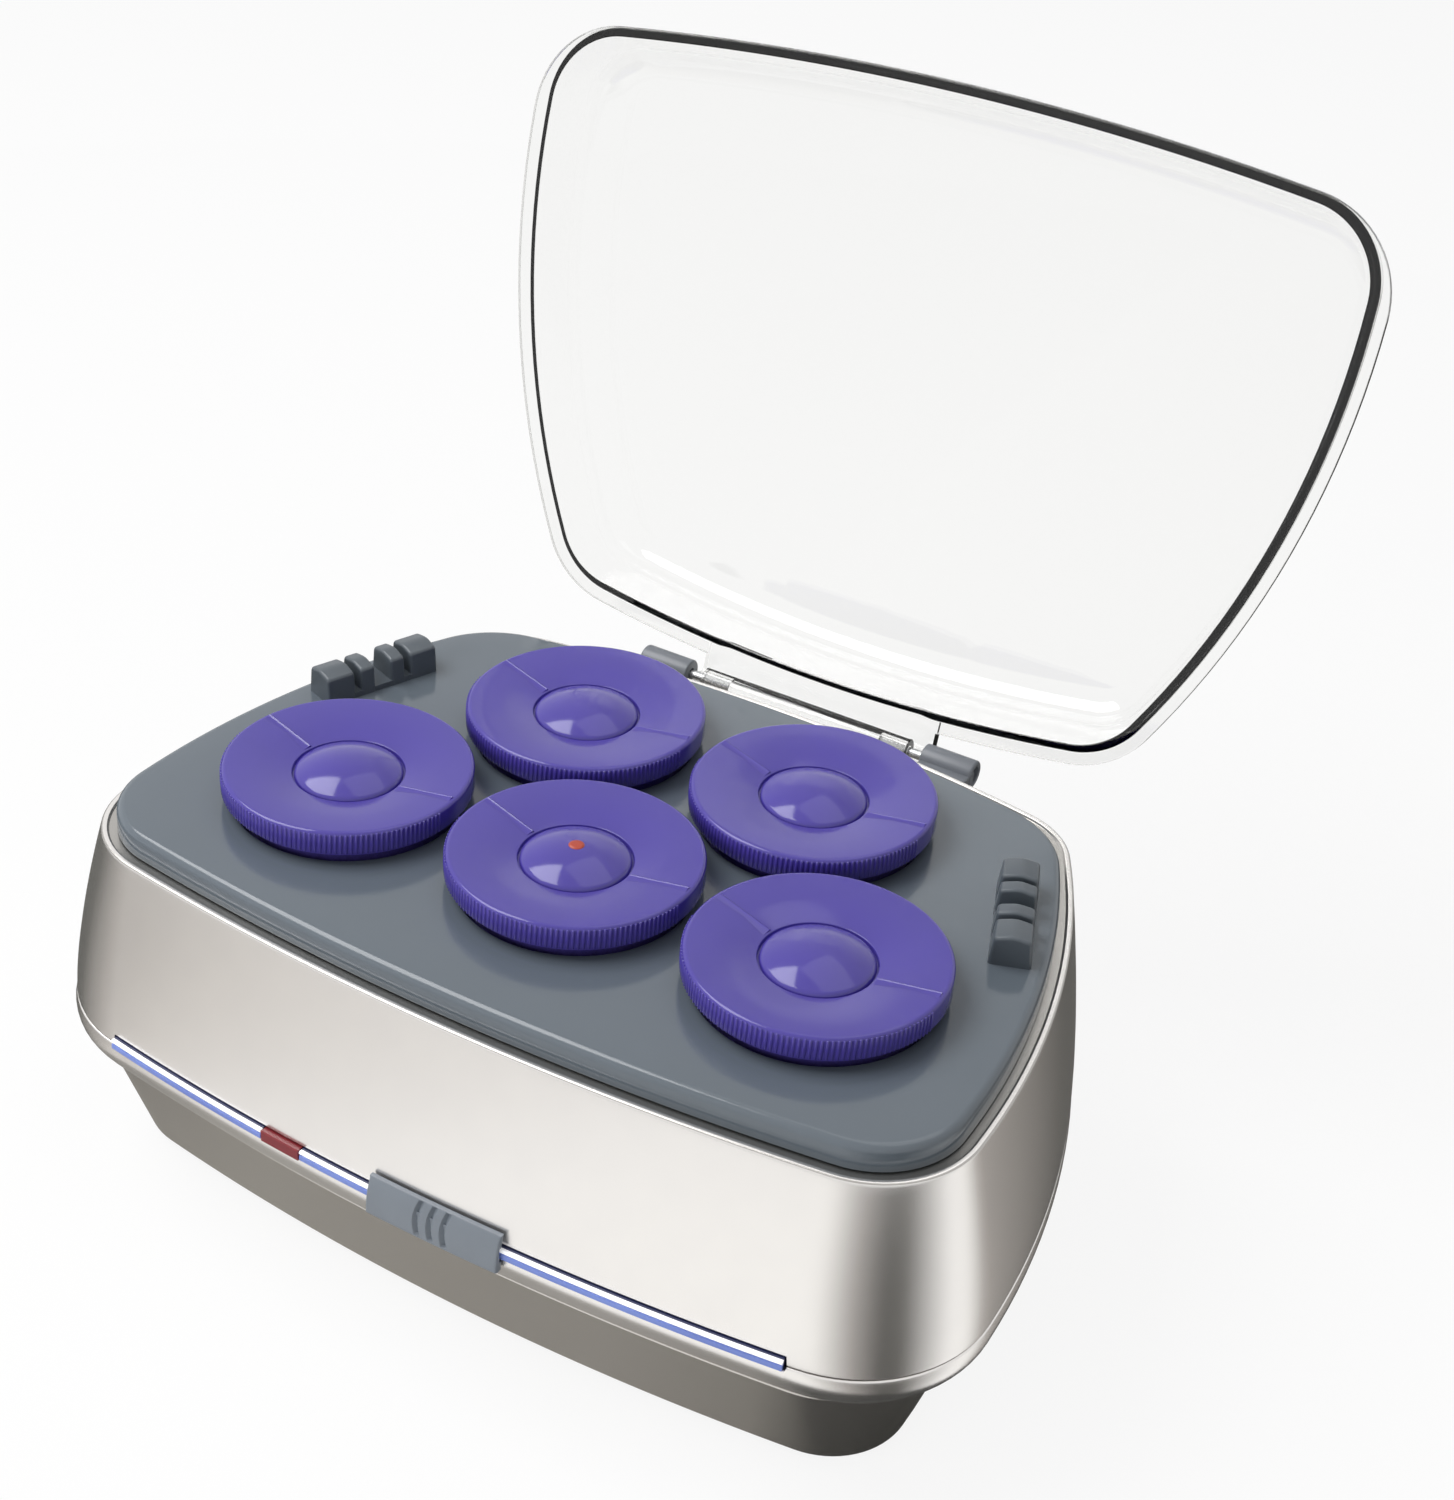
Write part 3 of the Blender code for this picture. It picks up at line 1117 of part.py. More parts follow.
def make_feet():
    underside = BASE_BOTTOM - GAP
    stud_top = BASE_BOTTOM + FOOT_STUD_HEIGHT
    profile = ((0.0, stud_top), (FOOT_STUD_RADIUS, stud_top), (FOOT_STUD_RADIUS, underside),
               (FOOT_RADIUS, underside), (FOOT_RADIUS - 0.4 * MM, 0.0), (0.0, 0.0))
    for number, (x, y) in enumerate(from_row(FEET), start=1):
        foot = turned(profile, POST_SEGMENTS)
        foot.location = (x, y, 0.0)
        as_part(foot, "rubber_foot_%d" % number, "rubber")


def gland_place():
    """Centre of the inlet on the shell's outer back face, and the way that it points."""
    step = 1.0 * MM
    slope = (back_y(GLAND_X, GLAND_Z - step) - back_y(GLAND_X, GLAND_Z + step)) / (2 * step)
    outwards = Vector((GLAND_X / BACK_RADIUS, 1.0, slope)).normalized()
    return Vector((GLAND_X, back_y(GLAND_X, GLAND_Z), GLAND_Z)), outwards


def gland_cutter():
    centre, outwards = gland_place()
    reach = outwards * 2 * WALL
    hole = rods([(centre - reach, centre + reach, GLAND_RADIUS + GAP)], POST_SEGMENTS)
    return as_cutter(hole, "gland_hole")


def make_gland():
    centre, outwards = gland_place()
    flange_back = 2 * GAP
    inside = WALL + GLAND_INSIDE
    profile = ((GLAND_FLANGE_RADIUS - 0.6 * MM, flange_back + GLAND_FLANGE),
               (GLAND_FLANGE_RADIUS, flange_back), (GLAND_RADIUS, flange_back),
               (GLAND_RADIUS, -inside), (GLAND_BORE, -inside), (GLAND_BORE, flange_back + GLAND_FLANGE))
    gland = turned(profile, POST_SEGMENTS, ring=True)
    gland.location = centre
    gland.rotation_mode = "QUATERNION"
    gland.rotation_quaternion = outwards.to_track_quat("Z", "Y")
    as_part(gland, "cord_gland", "black")


def make_terminal_block():
    centre = Vector((TERMINAL_X, TERMINAL_Y, BASE_INSIDE + GAP + TERMINAL_SIZE[2] / 2))
    as_part(boxes([(centre, TERMINAL_SIZE)]), "terminal_block", "white")


def lead(name, points):
    curve = bpy.data.curves.new(name, "CURVE")
    curve.dimensions = "3D"
    curve.bevel_depth = LEAD_RADIUS
    curve.bevel_resolution = 2
    curve.use_fill_caps = True
    spline = curve.splines.new("POLY")
    spline.points.add(len(points) - 1)
    for point, place in zip(spline.points, points):
        point.co = (*place, 1.0)
    as_part(bpy.data.objects.new(name, curve), name, "lead")


def make_leads():
    run_z = BASE_INSIDE + GAP + LEAD_RADIUS + 0.6 * MM
    block_front = TERMINAL_Y - TERMINAL_SIZE[1] / 2 - GAP
    block_z = BASE_INSIDE + TERMINAL_SIZE[2] / 2
    switch = switch_centre()
    switch_x = switch.x
    lead("lead_switch", [
        (TERMINAL_X - 6 * MM, block_front, block_z),
        (TERMINAL_X - 6 * MM, block_front - 3 * MM, block_z),
        (TERMINAL_X - 9 * MM, block_front - 7 * MM, block_z - 1 * MM),
        (TERMINAL_X - 14 * MM, block_front - 16 * MM, run_z),
        (switch_x + 14 * MM, ROW_Y + 8 * MM, run_z),
        (switch_x + 8 * MM, ROW_Y - 25 * MM, run_z),
        (switch_x + 2 * MM, switch.y + 6 * MM, run_z + 3 * MM),
        (switch_x, switch.y, run_z + 10 * MM),
        (switch_x, switch.y, SWITCH_BOTTOM - GAP),
    ])
    element_x = ELEMENT_SIZE[0] / 2 - 6 * MM
    element_under = PLATE_BOTTOM - 2 * GAP - ELEMENT_SIZE[2]
    lead("lead_heater", [
        (TERMINAL_X + 6 * MM, block_front, block_z),
        (TERMINAL_X + 6 * MM, block_front - 3 * MM, block_z),
        (TERMINAL_X + 9 * MM, block_front - 8 * MM, block_z - 1 * MM),
        (element_x - 2 * MM, ELEMENT_Y + 10 * MM, block_z - 1 * MM),
        (element_x, ELEMENT_Y + 3 * MM, block_z),
        (element_x, ELEMENT_Y, element_under - 2 * MM),
        (element_x, ELEMENT_Y, element_under),
    ])
    holder = lamp_holder_centre()
    holder_side = holder.x + LAMP_HOLDER_SIZE[0] / 2 + GAP
    switch_side = switch.x - SWITCH_SIZE[0] / 2 - GAP
    lead("lead_lamp", [
        (switch_side, switch.y, switch.z),
        (switch_side - 3 * MM, switch.y, switch.z),
        (holder_side + 3 * MM, holder.y, holder.z),
        (holder_side, holder.y, holder.z),
    ])
    centre, outwards = gland_place()
    inner_mouth = centre - outwards * (WALL + GLAND_INSIDE + GAP)
    block_back = TERMINAL_Y + TERMINAL_SIZE[1] / 2 + GAP
    lead("lead_mains", [
        inner_mouth,
        inner_mouth - outwards * 4 * MM + Vector((0, 0, -1 * MM)),
        inner_mouth + Vector((-5 * MM, -5 * MM, -12 * MM)),
        (TERMINAL_X + 13 * MM, block_back + 7 * MM, block_z + 12 * MM),
        (TERMINAL_X + 6 * MM, block_back + 5 * MM, block_z + 1 * MM),
        (TERMINAL_X + 6 * MM, block_back + 3 * MM, block_z),
        (TERMINAL_X + 6 * MM, block_back, block_z),
    ])


def main():
    make_upper_shell()
    make_lower_band()
    make_base()
    make_tray()
    make_rack("clip_rack_left", -1)
    make_rack("clip_rack_right", 1)
    make_light_bar()
    make_lens()
    make_knob()
    make_switch()
    make_lamp()
    make_heater()
    make_posts()
    make_rollers()
    make_lid()
    make_hinge()
    make_screws()
    make_feet()
    make_gland()
    make_terminal_block()
    make_leads()


main()
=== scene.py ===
"""Heated roller set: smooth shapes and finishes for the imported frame.

Laid out as an add-on: settings, one operator for each piece or group of like pieces, and a panel.
X runs from left to right, Y from the front to the back and Z up, in metres.
"""

import json
import math

import bmesh
import bpy
from mathutils import Matrix, Vector


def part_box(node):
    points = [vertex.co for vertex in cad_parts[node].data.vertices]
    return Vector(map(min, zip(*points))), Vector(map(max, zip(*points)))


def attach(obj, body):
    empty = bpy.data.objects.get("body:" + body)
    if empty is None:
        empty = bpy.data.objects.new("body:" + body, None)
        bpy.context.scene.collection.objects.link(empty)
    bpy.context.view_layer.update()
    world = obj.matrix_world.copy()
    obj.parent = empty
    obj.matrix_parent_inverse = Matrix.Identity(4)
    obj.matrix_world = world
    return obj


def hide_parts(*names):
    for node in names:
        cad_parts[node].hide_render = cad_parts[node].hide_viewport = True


bl_info = {
    "name": "Heated roller set",
    "version": (1, 0, 0),
    "blender": (4, 5, 0),
    "location": "View3D > Sidebar > Rollers",
    "description": "Builds the visible pieces and finishes of a heated roller set",
    "category": "Object",
}

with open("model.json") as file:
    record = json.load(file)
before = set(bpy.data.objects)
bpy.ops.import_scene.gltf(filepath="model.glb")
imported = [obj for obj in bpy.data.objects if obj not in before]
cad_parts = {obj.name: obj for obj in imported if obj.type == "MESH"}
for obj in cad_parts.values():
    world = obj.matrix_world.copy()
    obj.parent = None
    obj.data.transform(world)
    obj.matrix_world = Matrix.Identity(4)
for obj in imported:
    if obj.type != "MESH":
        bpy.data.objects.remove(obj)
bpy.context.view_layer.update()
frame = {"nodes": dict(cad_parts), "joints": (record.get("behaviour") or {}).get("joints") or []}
MM = 0.001
ROLLERS = ("roller_1", "roller_2", "roller_3", "roller_4", "roller_5")
DOT_ROLLER = "roller_2"


def middle_of(node):
    low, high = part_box(node)
    return (low + high) / 2


def size_of(node):
    low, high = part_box(node)
    return high - low


# Heights and places that the frame gives
ROW_Y = middle_of("roller_1_cap").y
SEAM_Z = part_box("upper_shell")[0].z - 0.15 * MM
JOIN_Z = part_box("lower_band")[0].z - 0.15 * MM
LEDGE_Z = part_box("upper_shell")[1].z
TRAY_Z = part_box("roller_tray")[1].z
WELL_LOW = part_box("roller_tray")[0].z
BASE_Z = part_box("base")[0].z
CAP_RADIUS = size_of("roller_1_cap").x / 2
CAP_UNDER_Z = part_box("roller_1_barrel")[1].z + 0.3 * MM
CAP_Z = CAP_UNDER_Z + 6.5 * MM
HINGE = next(Vector(joint["pos_m"]) for joint in frame["joints"] if joint["name"] == "lid_hinge")
LID_OPEN = math.radians(105.0)

# Plan of the case at the top of the shell
CASE_FRONT = ROW_Y - 50.8 * MM
CASE_BACK = ROW_Y + 101.5 * MM
HALF_WIDTH = 110.0 * MM
WIDEST_Y = ROW_Y - 17.4 * MM
FRONT_RADIUS = 630.0 * MM
SIDE_RADIUS = 215.0 * MM
BACK_RADIUS = 380.0 * MM
SHELL_FLARE = 8.7 * MM
BAND_BULGE = 0.5 * MM
BAND_TUCK = 6.2 * MM
BAND_WIDEST = 38.8 * MM
LEDGE_FLOOR = LEDGE_Z - 0.7 * MM
WALL = 2.5 * MM
FIT = 0.3 * MM
WELL_RADIUS = 26.6 * MM
POST_RADIUS = 7.8 * MM

# Light bar on the parting line
BAR_HALF = 86.6 * MM
BAR_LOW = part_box("light_bar")[0].z
BAR_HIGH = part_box("light_bar")[1].z
BAR_FACE = SHELL_FLARE + 1.2 * MM
SLOT_HALF = BAR_HALF + FIT

# Studio, in metres and degrees
CAMERA_PLACE = (0.2249, ROW_Y - 0.3624, 0.3999)
CAMERA_TURN, CAMERA_TILT, CAMERA_ROLL = 27.563, 57.614, 4.686
CAMERA_LENS = 57.07
LIGHT_TARGET = (0.0, -0.05, 0.08)
CARD_MIDDLE_Y = CASE_FRONT + 20.0 * MM
CARD_CORNER_X = 100.0 * MM
CARD_REACH = 0.8
CARD_GLOW = 1.5

# Steps round the outlines
HALF_FRONT_STEPS = 20
CORNER_STEPS = 16
SIDE_STEPS = 20
HALF_BACK_STEPS = 12
TURNED_STEPS = 128


# Settings

class CaseSettings(bpy.types.PropertyGroup):
    silver: bpy.props.StringProperty(
        name="Silver", description="Colour of the satin metallic paint, as sRGB hex", default="E6E3E0")
    warm_silver: bpy.props.StringProperty(
        name="Warm silver", description="Colour of the paint on the base, as sRGB hex", default="CFCBC6")
    # The ledge colour is painted shade: the silver is darkened where the ledge catches dark reflections of
    # the tray.
    ledge: bpy.props.StringProperty(
        name="Ledge", description="Colour of the thin paint on the ledge, as sRGB hex", default="B2AFAB")
    slate: bpy.props.StringProperty(
        name="Slate", description="Colour of the tray's plastic, as sRGB hex", default="626B73")
    edge: bpy.props.FloatProperty(
        name="Edge", description="Rounding of the shell's moulded edges", default=0.35 * MM, unit="LENGTH")


class RollerSettings(bpy.types.PropertyGroup):
    purple: bpy.props.StringProperty(
        name="Purple", description="Colour of the caps' plastic, as sRGB hex", default="4B3F9D")
    rib_pitch: bpy.props.FloatProperty(
        name="Rib pitch", description="From rib to rib round the cap", default=1.15 * MM, unit="LENGTH")
    rib_height: bpy.props.FloatProperty(
        name="Rib height", description="How far a rib stands out", default=0.32 * MM, unit="LENGTH")
    rib_sweep: bpy.props.FloatProperty(
        name="Ribbed arc", description="How much of the rim is ribbed", default=math.radians(168.0),
        subtype="ANGLE")


class LidSettings(bpy.types.PropertyGroup):
    tint: bpy.props.StringProperty(
        name="Tint", description="Colour of the clear plastic, as sRGB hex", default="F9F9F8")
    wall: bpy.props.FloatProperty(
        name="Wall", description="Thickness of the lid", default=2.2 * MM, unit="LENGTH")
    fillet: bpy.props.FloatProperty(
        name="Fillet", description="Rounding between the panel and the walls", default=10.0 * MM,
        unit="LENGTH")


class SwitchSettings(bpy.types.PropertyGroup):
    blue: bpy.props.StringProperty(
        name="Blue", description="Colour of the light bar, as sRGB hex", default="7388DC")
    grey: bpy.props.StringProperty(
        name="Grey", description="Colour of the slider, as sRGB hex", default="7B838C")
    groove_depth: bpy.props.FloatProperty(
        name="Groove depth", description="Depth of the slider's finger grooves", default=1.0 * MM,
        unit="LENGTH")
    groove_count: bpy.props.IntProperty(
        name="Grooves", description="How many finger grooves the slider has", default=3, min=0, max=5)


class StageSettings(bpy.types.PropertyGroup):
    key_power: bpy.props.FloatProperty(
        name="Key power", description="Power of the softbox up on the left", default=14.0, min=0.0)
    top_power: bpy.props.FloatProperty(
        name="Top power", description="Power of the softbox overhead", default=2.0, min=0.0)
    front_power: bpy.props.FloatProperty(
        name="Front power", description="Power of the low softbox in front", default=4.5, min=0.0)
    fill: bpy.props.FloatProperty(
        name="Fill", description="Strength of the even light from all round", default=0.28, min=0.0)
    floor: bpy.props.StringProperty(
        name="Floor", description="Colour of the floor, as sRGB hex", default="F2F2F2")


class RollerSetSettings(bpy.types.PropertyGroup):
    case: bpy.props.PointerProperty(type=CaseSettings, name="Case", description="Case")
    rollers: bpy.props.PointerProperty(type=RollerSettings, name="Rollers", description="Rollers")
    lid: bpy.props.PointerProperty(type=LidSettings, name="Lid", description="Lid")
    switch: bpy.props.PointerProperty(type=SwitchSettings, name="Switch", description="Switch")
    stage: bpy.props.PointerProperty(type=StageSettings, name="Stage", description="Stage")


# Outlines

class Plan:
    """A convex outline: front, side and back arcs, with a tangent arc round each corner."""

    def __init__(self, front, back, half_width, radii, corners, spread=(1.0, 1.0, 0.0)):
        self.front = front
        self.back = back
        self.half_width = half_width
        self.radii = radii
        self.corners = corners
        self.side_spread, self.back_spread, self.forward_spread = spread

    def ring(self, flare, inset, z):
        """The outline grown by flare, then moved in evenly by inset, as points at height z."""
        side = flare * self.side_spread
        back = flare * self.back_spread
        front_radius, side_radius, back_radius = (
            radius + grow for radius, grow in zip(self.radii, (flare, side, back)))
        front_corner = self.corners[0] + side
        back_corner = self.corners[1] + back
        front_centre = Vector((0.0, self.front - flare + front_radius))
        widest = WIDEST_Y - flare * self.forward_spread
        side_centre = Vector((self.half_width + side - side_radius, widest))
        back_centre = Vector((0.0, self.back + back - back_radius))
        near = crossing(front_centre, front_radius - front_corner, side_centre, side_radius - front_corner)
        far = crossing(back_centre, back_radius - back_corner, side_centre, side_radius - back_corner)
        front_turn = heading(near - front_centre)
        half = math.pi / 2
        slot_end = min(math.asin(SLOT_HALF / FRONT_RADIUS), front_turn + half - 0.001)
        front_angles = steps(-half, slot_end - half, HALF_FRONT_STEPS) + [slot_end - half + 0.0005]
        arcs = (
            (near, front_corner, steps(front_turn, heading(near - side_centre), CORNER_STEPS)[:-1]),
            (side_centre, side_radius,
             steps(heading(near - side_centre), heading(far - side_centre), SIDE_STEPS)[:-1]),
            (far, back_corner,
             steps(heading(far - side_centre), heading(far - back_centre), CORNER_STEPS)[:-1]),
            (back_centre, back_radius, steps(heading(far - back_centre), half, HALF_BACK_STEPS)),
        )
        right = [on_circle(front_centre, front_radius - inset, angle) for angle in front_angles]
        for centre, radius, angles in arcs:
            right += [on_circle(centre, radius - inset, angle) for angle in angles]
        left = [Vector((-point.x, point.y)) for point in reversed(right[1:-1])]
        return [Vector((point.x, point.y, z)) for point in right + left]


def crossing(centre_a, radius_a, centre_b, radius_b):
    """The right-hand point where two circles cross."""
    between = centre_b - centre_a
    along = (radius_a ** 2 - radius_b ** 2 + between.length_squared) / (2 * between.length)
    across = math.sqrt(radius_a ** 2 - along ** 2)
    foot = centre_a + between.normalized() * along
    sideways = Vector((-between.y, between.x)).normalized() * across
    return max(foot + sideways, foot - sideways, key=lambda point: point.x)


def heading(direction):
    return math.atan2(direction.y, direction.x)


def on_circle(centre, radius, angle):
    return centre + Vector((math.cos(angle), math.sin(angle))) * radius


def steps(start, end, count):
    return [start + (end - start) * i / count for i in range(count + 1)]


CASE = Plan(CASE_FRONT, CASE_BACK, HALF_WIDTH, (FRONT_RADIUS, SIDE_RADIUS, BACK_RADIUS),
            (25.0 * MM, 21.0 * MM), (0.93, 0.7, 0.6))
BASE = Plan(CASE_FRONT - 4.2 * MM, CASE_BACK + 1.0 * MM, HALF_WIDTH - 1.3 * MM,
            (FRONT_RADIUS, SIDE_RADIUS, BACK_RADIUS), (25.0 * MM, 21.0 * MM), (0.62, 0.7, 0.0))
TRAY = Plan(CASE_FRONT + 3.6 * MM, ROW_Y + 92.8 * MM, HALF_WIDTH - 3.6 * MM,
            (FRONT_RADIUS - 3.6 * MM, SIDE_RADIUS - 3.6 * MM, BACK_RADIUS), (21.4 * MM, 25.0 * MM))
LID = Plan(CASE_FRONT + 0.6 * MM, CASE_BACK + 2.0 * MM, HALF_WIDTH + 1.2 * MM,
           (800.0 * MM, SIDE_RADIUS, 455.0 * MM), (21.5 * MM, 21.5 * MM))
LID_EDGE = Plan(CASE_FRONT + 0.3 * MM, CASE_BACK + 5.0 * MM, HALF_WIDTH + 4.2 * MM,
                (800.0 * MM, SIDE_RADIUS + 3.0 * MM, 458.0 * MM), (24.5 * MM, 24.5 * MM))


def shell_flare(z):
    """How far the upper shell's skin stands outside the case plan at height z."""
    drop = (LEDGE_Z - z) / (LEDGE_Z - SEAM_Z)
    return SHELL_FLARE * (1 - max(0.0, 1 - drop) ** 1.45)


def band_flare(z):
    """How far the band's skin stands outside the case plan at height z."""
    if z > BAND_WIDEST:
        rise = (z - BAND_WIDEST) / (SEAM_Z - BAND_WIDEST)
        return SHELL_FLARE + BAND_BULGE * (1 - rise ** 2)
    fall = (BAND_WIDEST - z) / (BAND_WIDEST - JOIN_Z)
    return SHELL_FLARE + BAND_BULGE - BAND_TUCK * fall ** 2.2


# Shapes

def rounded(corners, count=5, loop=False):
    """(point, radius) corners joined into a line, with an arc of that radius at each."""
    line = []
    last = len(corners) - 1
    for i, (point, radius) in enumerate(corners):
        corner = Vector(point)
        if radius == 0.0 or (not loop and i in (0, last)):
            line.append(corner)
            continue
        before = Vector(corners[i - 1][0]) - corner
        after = Vector(corners[(i + 1) % len(corners)][0]) - corner
        half = before.angle(after) / 2
        reach = min(radius / math.tan(half), 0.49 * before.length, 0.49 * after.length)
        radius = reach * math.tan(half)
        before.normalize()
        after.normalize()
        centre = corner + (before + after).normalized() * radius / math.sin(half)
        start = corner + before * reach - centre
        end = corner + after * reach - centre
        turn = math.pi - 2 * half
        for k in range(count + 1):
            share = k / count
            swing = start * math.sin((1 - share) * turn) + end * math.sin(share * turn)
            line.append(centre + swing / math.sin(turn))
    return line


def rounded_line(corners, count=5, loop=False):
    """The same as rounded, as plain pairs."""
    return [point[:2] for point in rounded(corners, count, loop)]


def upright(node):
    """Puts a shape turned round Z at a node's middle, with its heights as they are."""
    place = middle_of(node)
    return Matrix.Translation((place.x, place.y, 0.0))


def skin(bm, rings, loop=True):
    """Faces between rings of equally many points; the end rings are capped unless it is a loop."""
    rows = [[bm.verts.new(point) for point in ring] for ring in rings]
    pairs = list(zip(rows, rows[1:]))
    if loop:
        pairs.append((rows[-1], rows[0]))
    else:
        bm.faces.new(rows[0])
        bm.faces.new(rows[-1])
    for near, far in pairs:
        for i in range(len(near)):
            j = (i + 1) % len(near)
            bm.faces.new((near[i], near[j], far[j], far[i]))


def lathe(bm, profile, matrix=Matrix(), segments=TURNED_STEPS, loop=False):
    """Turns (radius, z) points round Z; a loop's ends are joined."""
    rows = []
    for radius, z in profile:
        if radius < 1e-7:
            rows.append([bm.verts.new(matrix @ Vector((0.0, 0.0, z)))])
            continue
        angles = [math.tau * i / segments for i in range(segments)]
        rows.append([bm.verts.new(matrix @ Vector((radius * math.cos(a), radius * math.sin(a), z)))
                     for a in angles])
    pairs = list(zip(rows, rows[1:]))
    if loop:
        pairs.append((rows[-1], rows[0]))
    for near, far in pairs:
        for i in range(segments):
            j = (i + 1) % segments
            corners = (near[i % len(near)], near[j % len(near)], far[j % len(far)], far[i % len(far)])
            bm.faces.new(list(dict.fromkeys(corners)))


def block(bm, centre, size, matrix=Matrix()):
    placed = matrix @ Matrix.Translation(centre) @ Matrix.Diagonal((*size, 1.0))
    bmesh.ops.create_cube(bm, size=1.0, matrix=placed)


def front_strip(bm, section, x_from, x_to, count):
    """A bar that follows the case's front arc; section holds (flare, z) points."""
    rings = []
    for x in steps(x_from, x_to, count):
        angle = math.asin(x / FRONT_RADIUS)
        ring = []
        for flare, z in section:
            radius = FRONT_RADIUS + flare
            y = CASE_FRONT + FRONT_RADIUS - radius * math.cos(angle)
            ring.append(Vector((radius * math.sin(angle), y, z)))
        rings.append(ring)
    skin(bm, rings, loop=False)


def piece(bm, name, material, body, nodes, smooth=35.0):
    """A finished mesh as a piece of the object, in place of the frame's nodes."""
    bmesh.ops.remove_doubles(bm, verts=bm.verts, dist=1e-7)
    bmesh.ops.dissolve_degenerate(bm, edges=bm.edges, dist=1e-7)
    bmesh.ops.recalc_face_normals(bm, faces=bm.faces)
    obj = as_object(bm, name, smooth)
    return settle(obj, material, body, nodes)


def as_object(bm, name, smooth=35.0):
    mesh = bpy.data.meshes.new(name)
    bm.to_mesh(mesh)
    bm.free()
    mesh.shade_smooth()
    mesh.set_sharp_from_angle(angle=math.radians(smooth))
    obj = bpy.data.objects.new(name, mesh)
    bpy.context.scene.collection.objects.link(obj)
    return obj


def settle(obj, material, body, nodes):
    """Gives a piece its finish and its place among the frame's bodies."""
    obj.data.materials.clear()
    obj.data.materials.append(material)
    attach(obj, body)
    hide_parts(*nodes)
    return obj


def cut(obj, tool, operation="DIFFERENCE"):
    """Applies an exact Boolean and removes the tool."""
    modifier = obj.modifiers.new("cut", "BOOLEAN")
    modifier.operation = operation
    modifier.object = tool
    modifier.solver = "EXACT"
    bake(obj)
    bpy.data.objects.remove(tool)


def bake(obj):
    """Turns an object with its modifiers into a plain mesh."""
    graph = bpy.context.evaluated_depsgraph_get()
    mesh = bpy.data.meshes.new_from_object(obj.evaluated_get(graph), depsgraph=graph)
    obj.modifiers.clear()
    obj.data = mesh


def soften(obj, width, segments=3, angle=40.0):
    """Rounds the sharp edges and keeps the flat faces flat."""
    bevel = obj.modifiers.new("edges", "BEVEL")
    bevel.width = width
    bevel.segments = segments
    bevel.limit_method = "ANGLE"
    bevel.angle_limit = math.radians(angle)
    bevel.harden_normals = True
    bake(obj)


# Geometry trees for what repeats

def new_tree(name, sockets):
    """A geometry tree with named inputs: (name, kind, default)."""
    tree = bpy.data.node_groups.new(name, "GeometryNodeTree")
    tree.interface.new_socket("Geometry", in_out="INPUT", socket_type="NodeSocketGeometry")
    for label, kind, default in sockets:
        socket = tree.interface.new_socket(label, in_out="INPUT", socket_type=kind)
        if default is not None:
            socket.default_value = default
    tree.interface.new_socket("Geometry", in_out="OUTPUT", socket_type="NodeSocketGeometry")
    return tree


def run_tree(obj, tree, values):
    """Sets a tree's inputs by their identifiers, then turns the result into a plain mesh."""
    modifier = obj.modifiers.new(tree.name, "NODES")
    modifier.node_group = tree
    for item in tree.interface.items_tree:
        if item.item_type == "SOCKET" and item.in_out == "INPUT" and item.name in values:
            modifier[item.identifier] = values[item.name]
    bake(obj)
    return obj


def add_node(tree, kind, settings=None, inputs=None):
    """Adds a node with its settings; an input is a value or the socket that feeds it."""
    node = tree.nodes.new(kind)
    for name, value in (settings or {}).items():
        setattr(node, name, value)
    for name, value in (inputs or {}).items():
        if isinstance(value, bpy.types.NodeSocket):
            tree.links.new(value, node.inputs[name])
        else:
            node.inputs[name].default_value = value
    return node


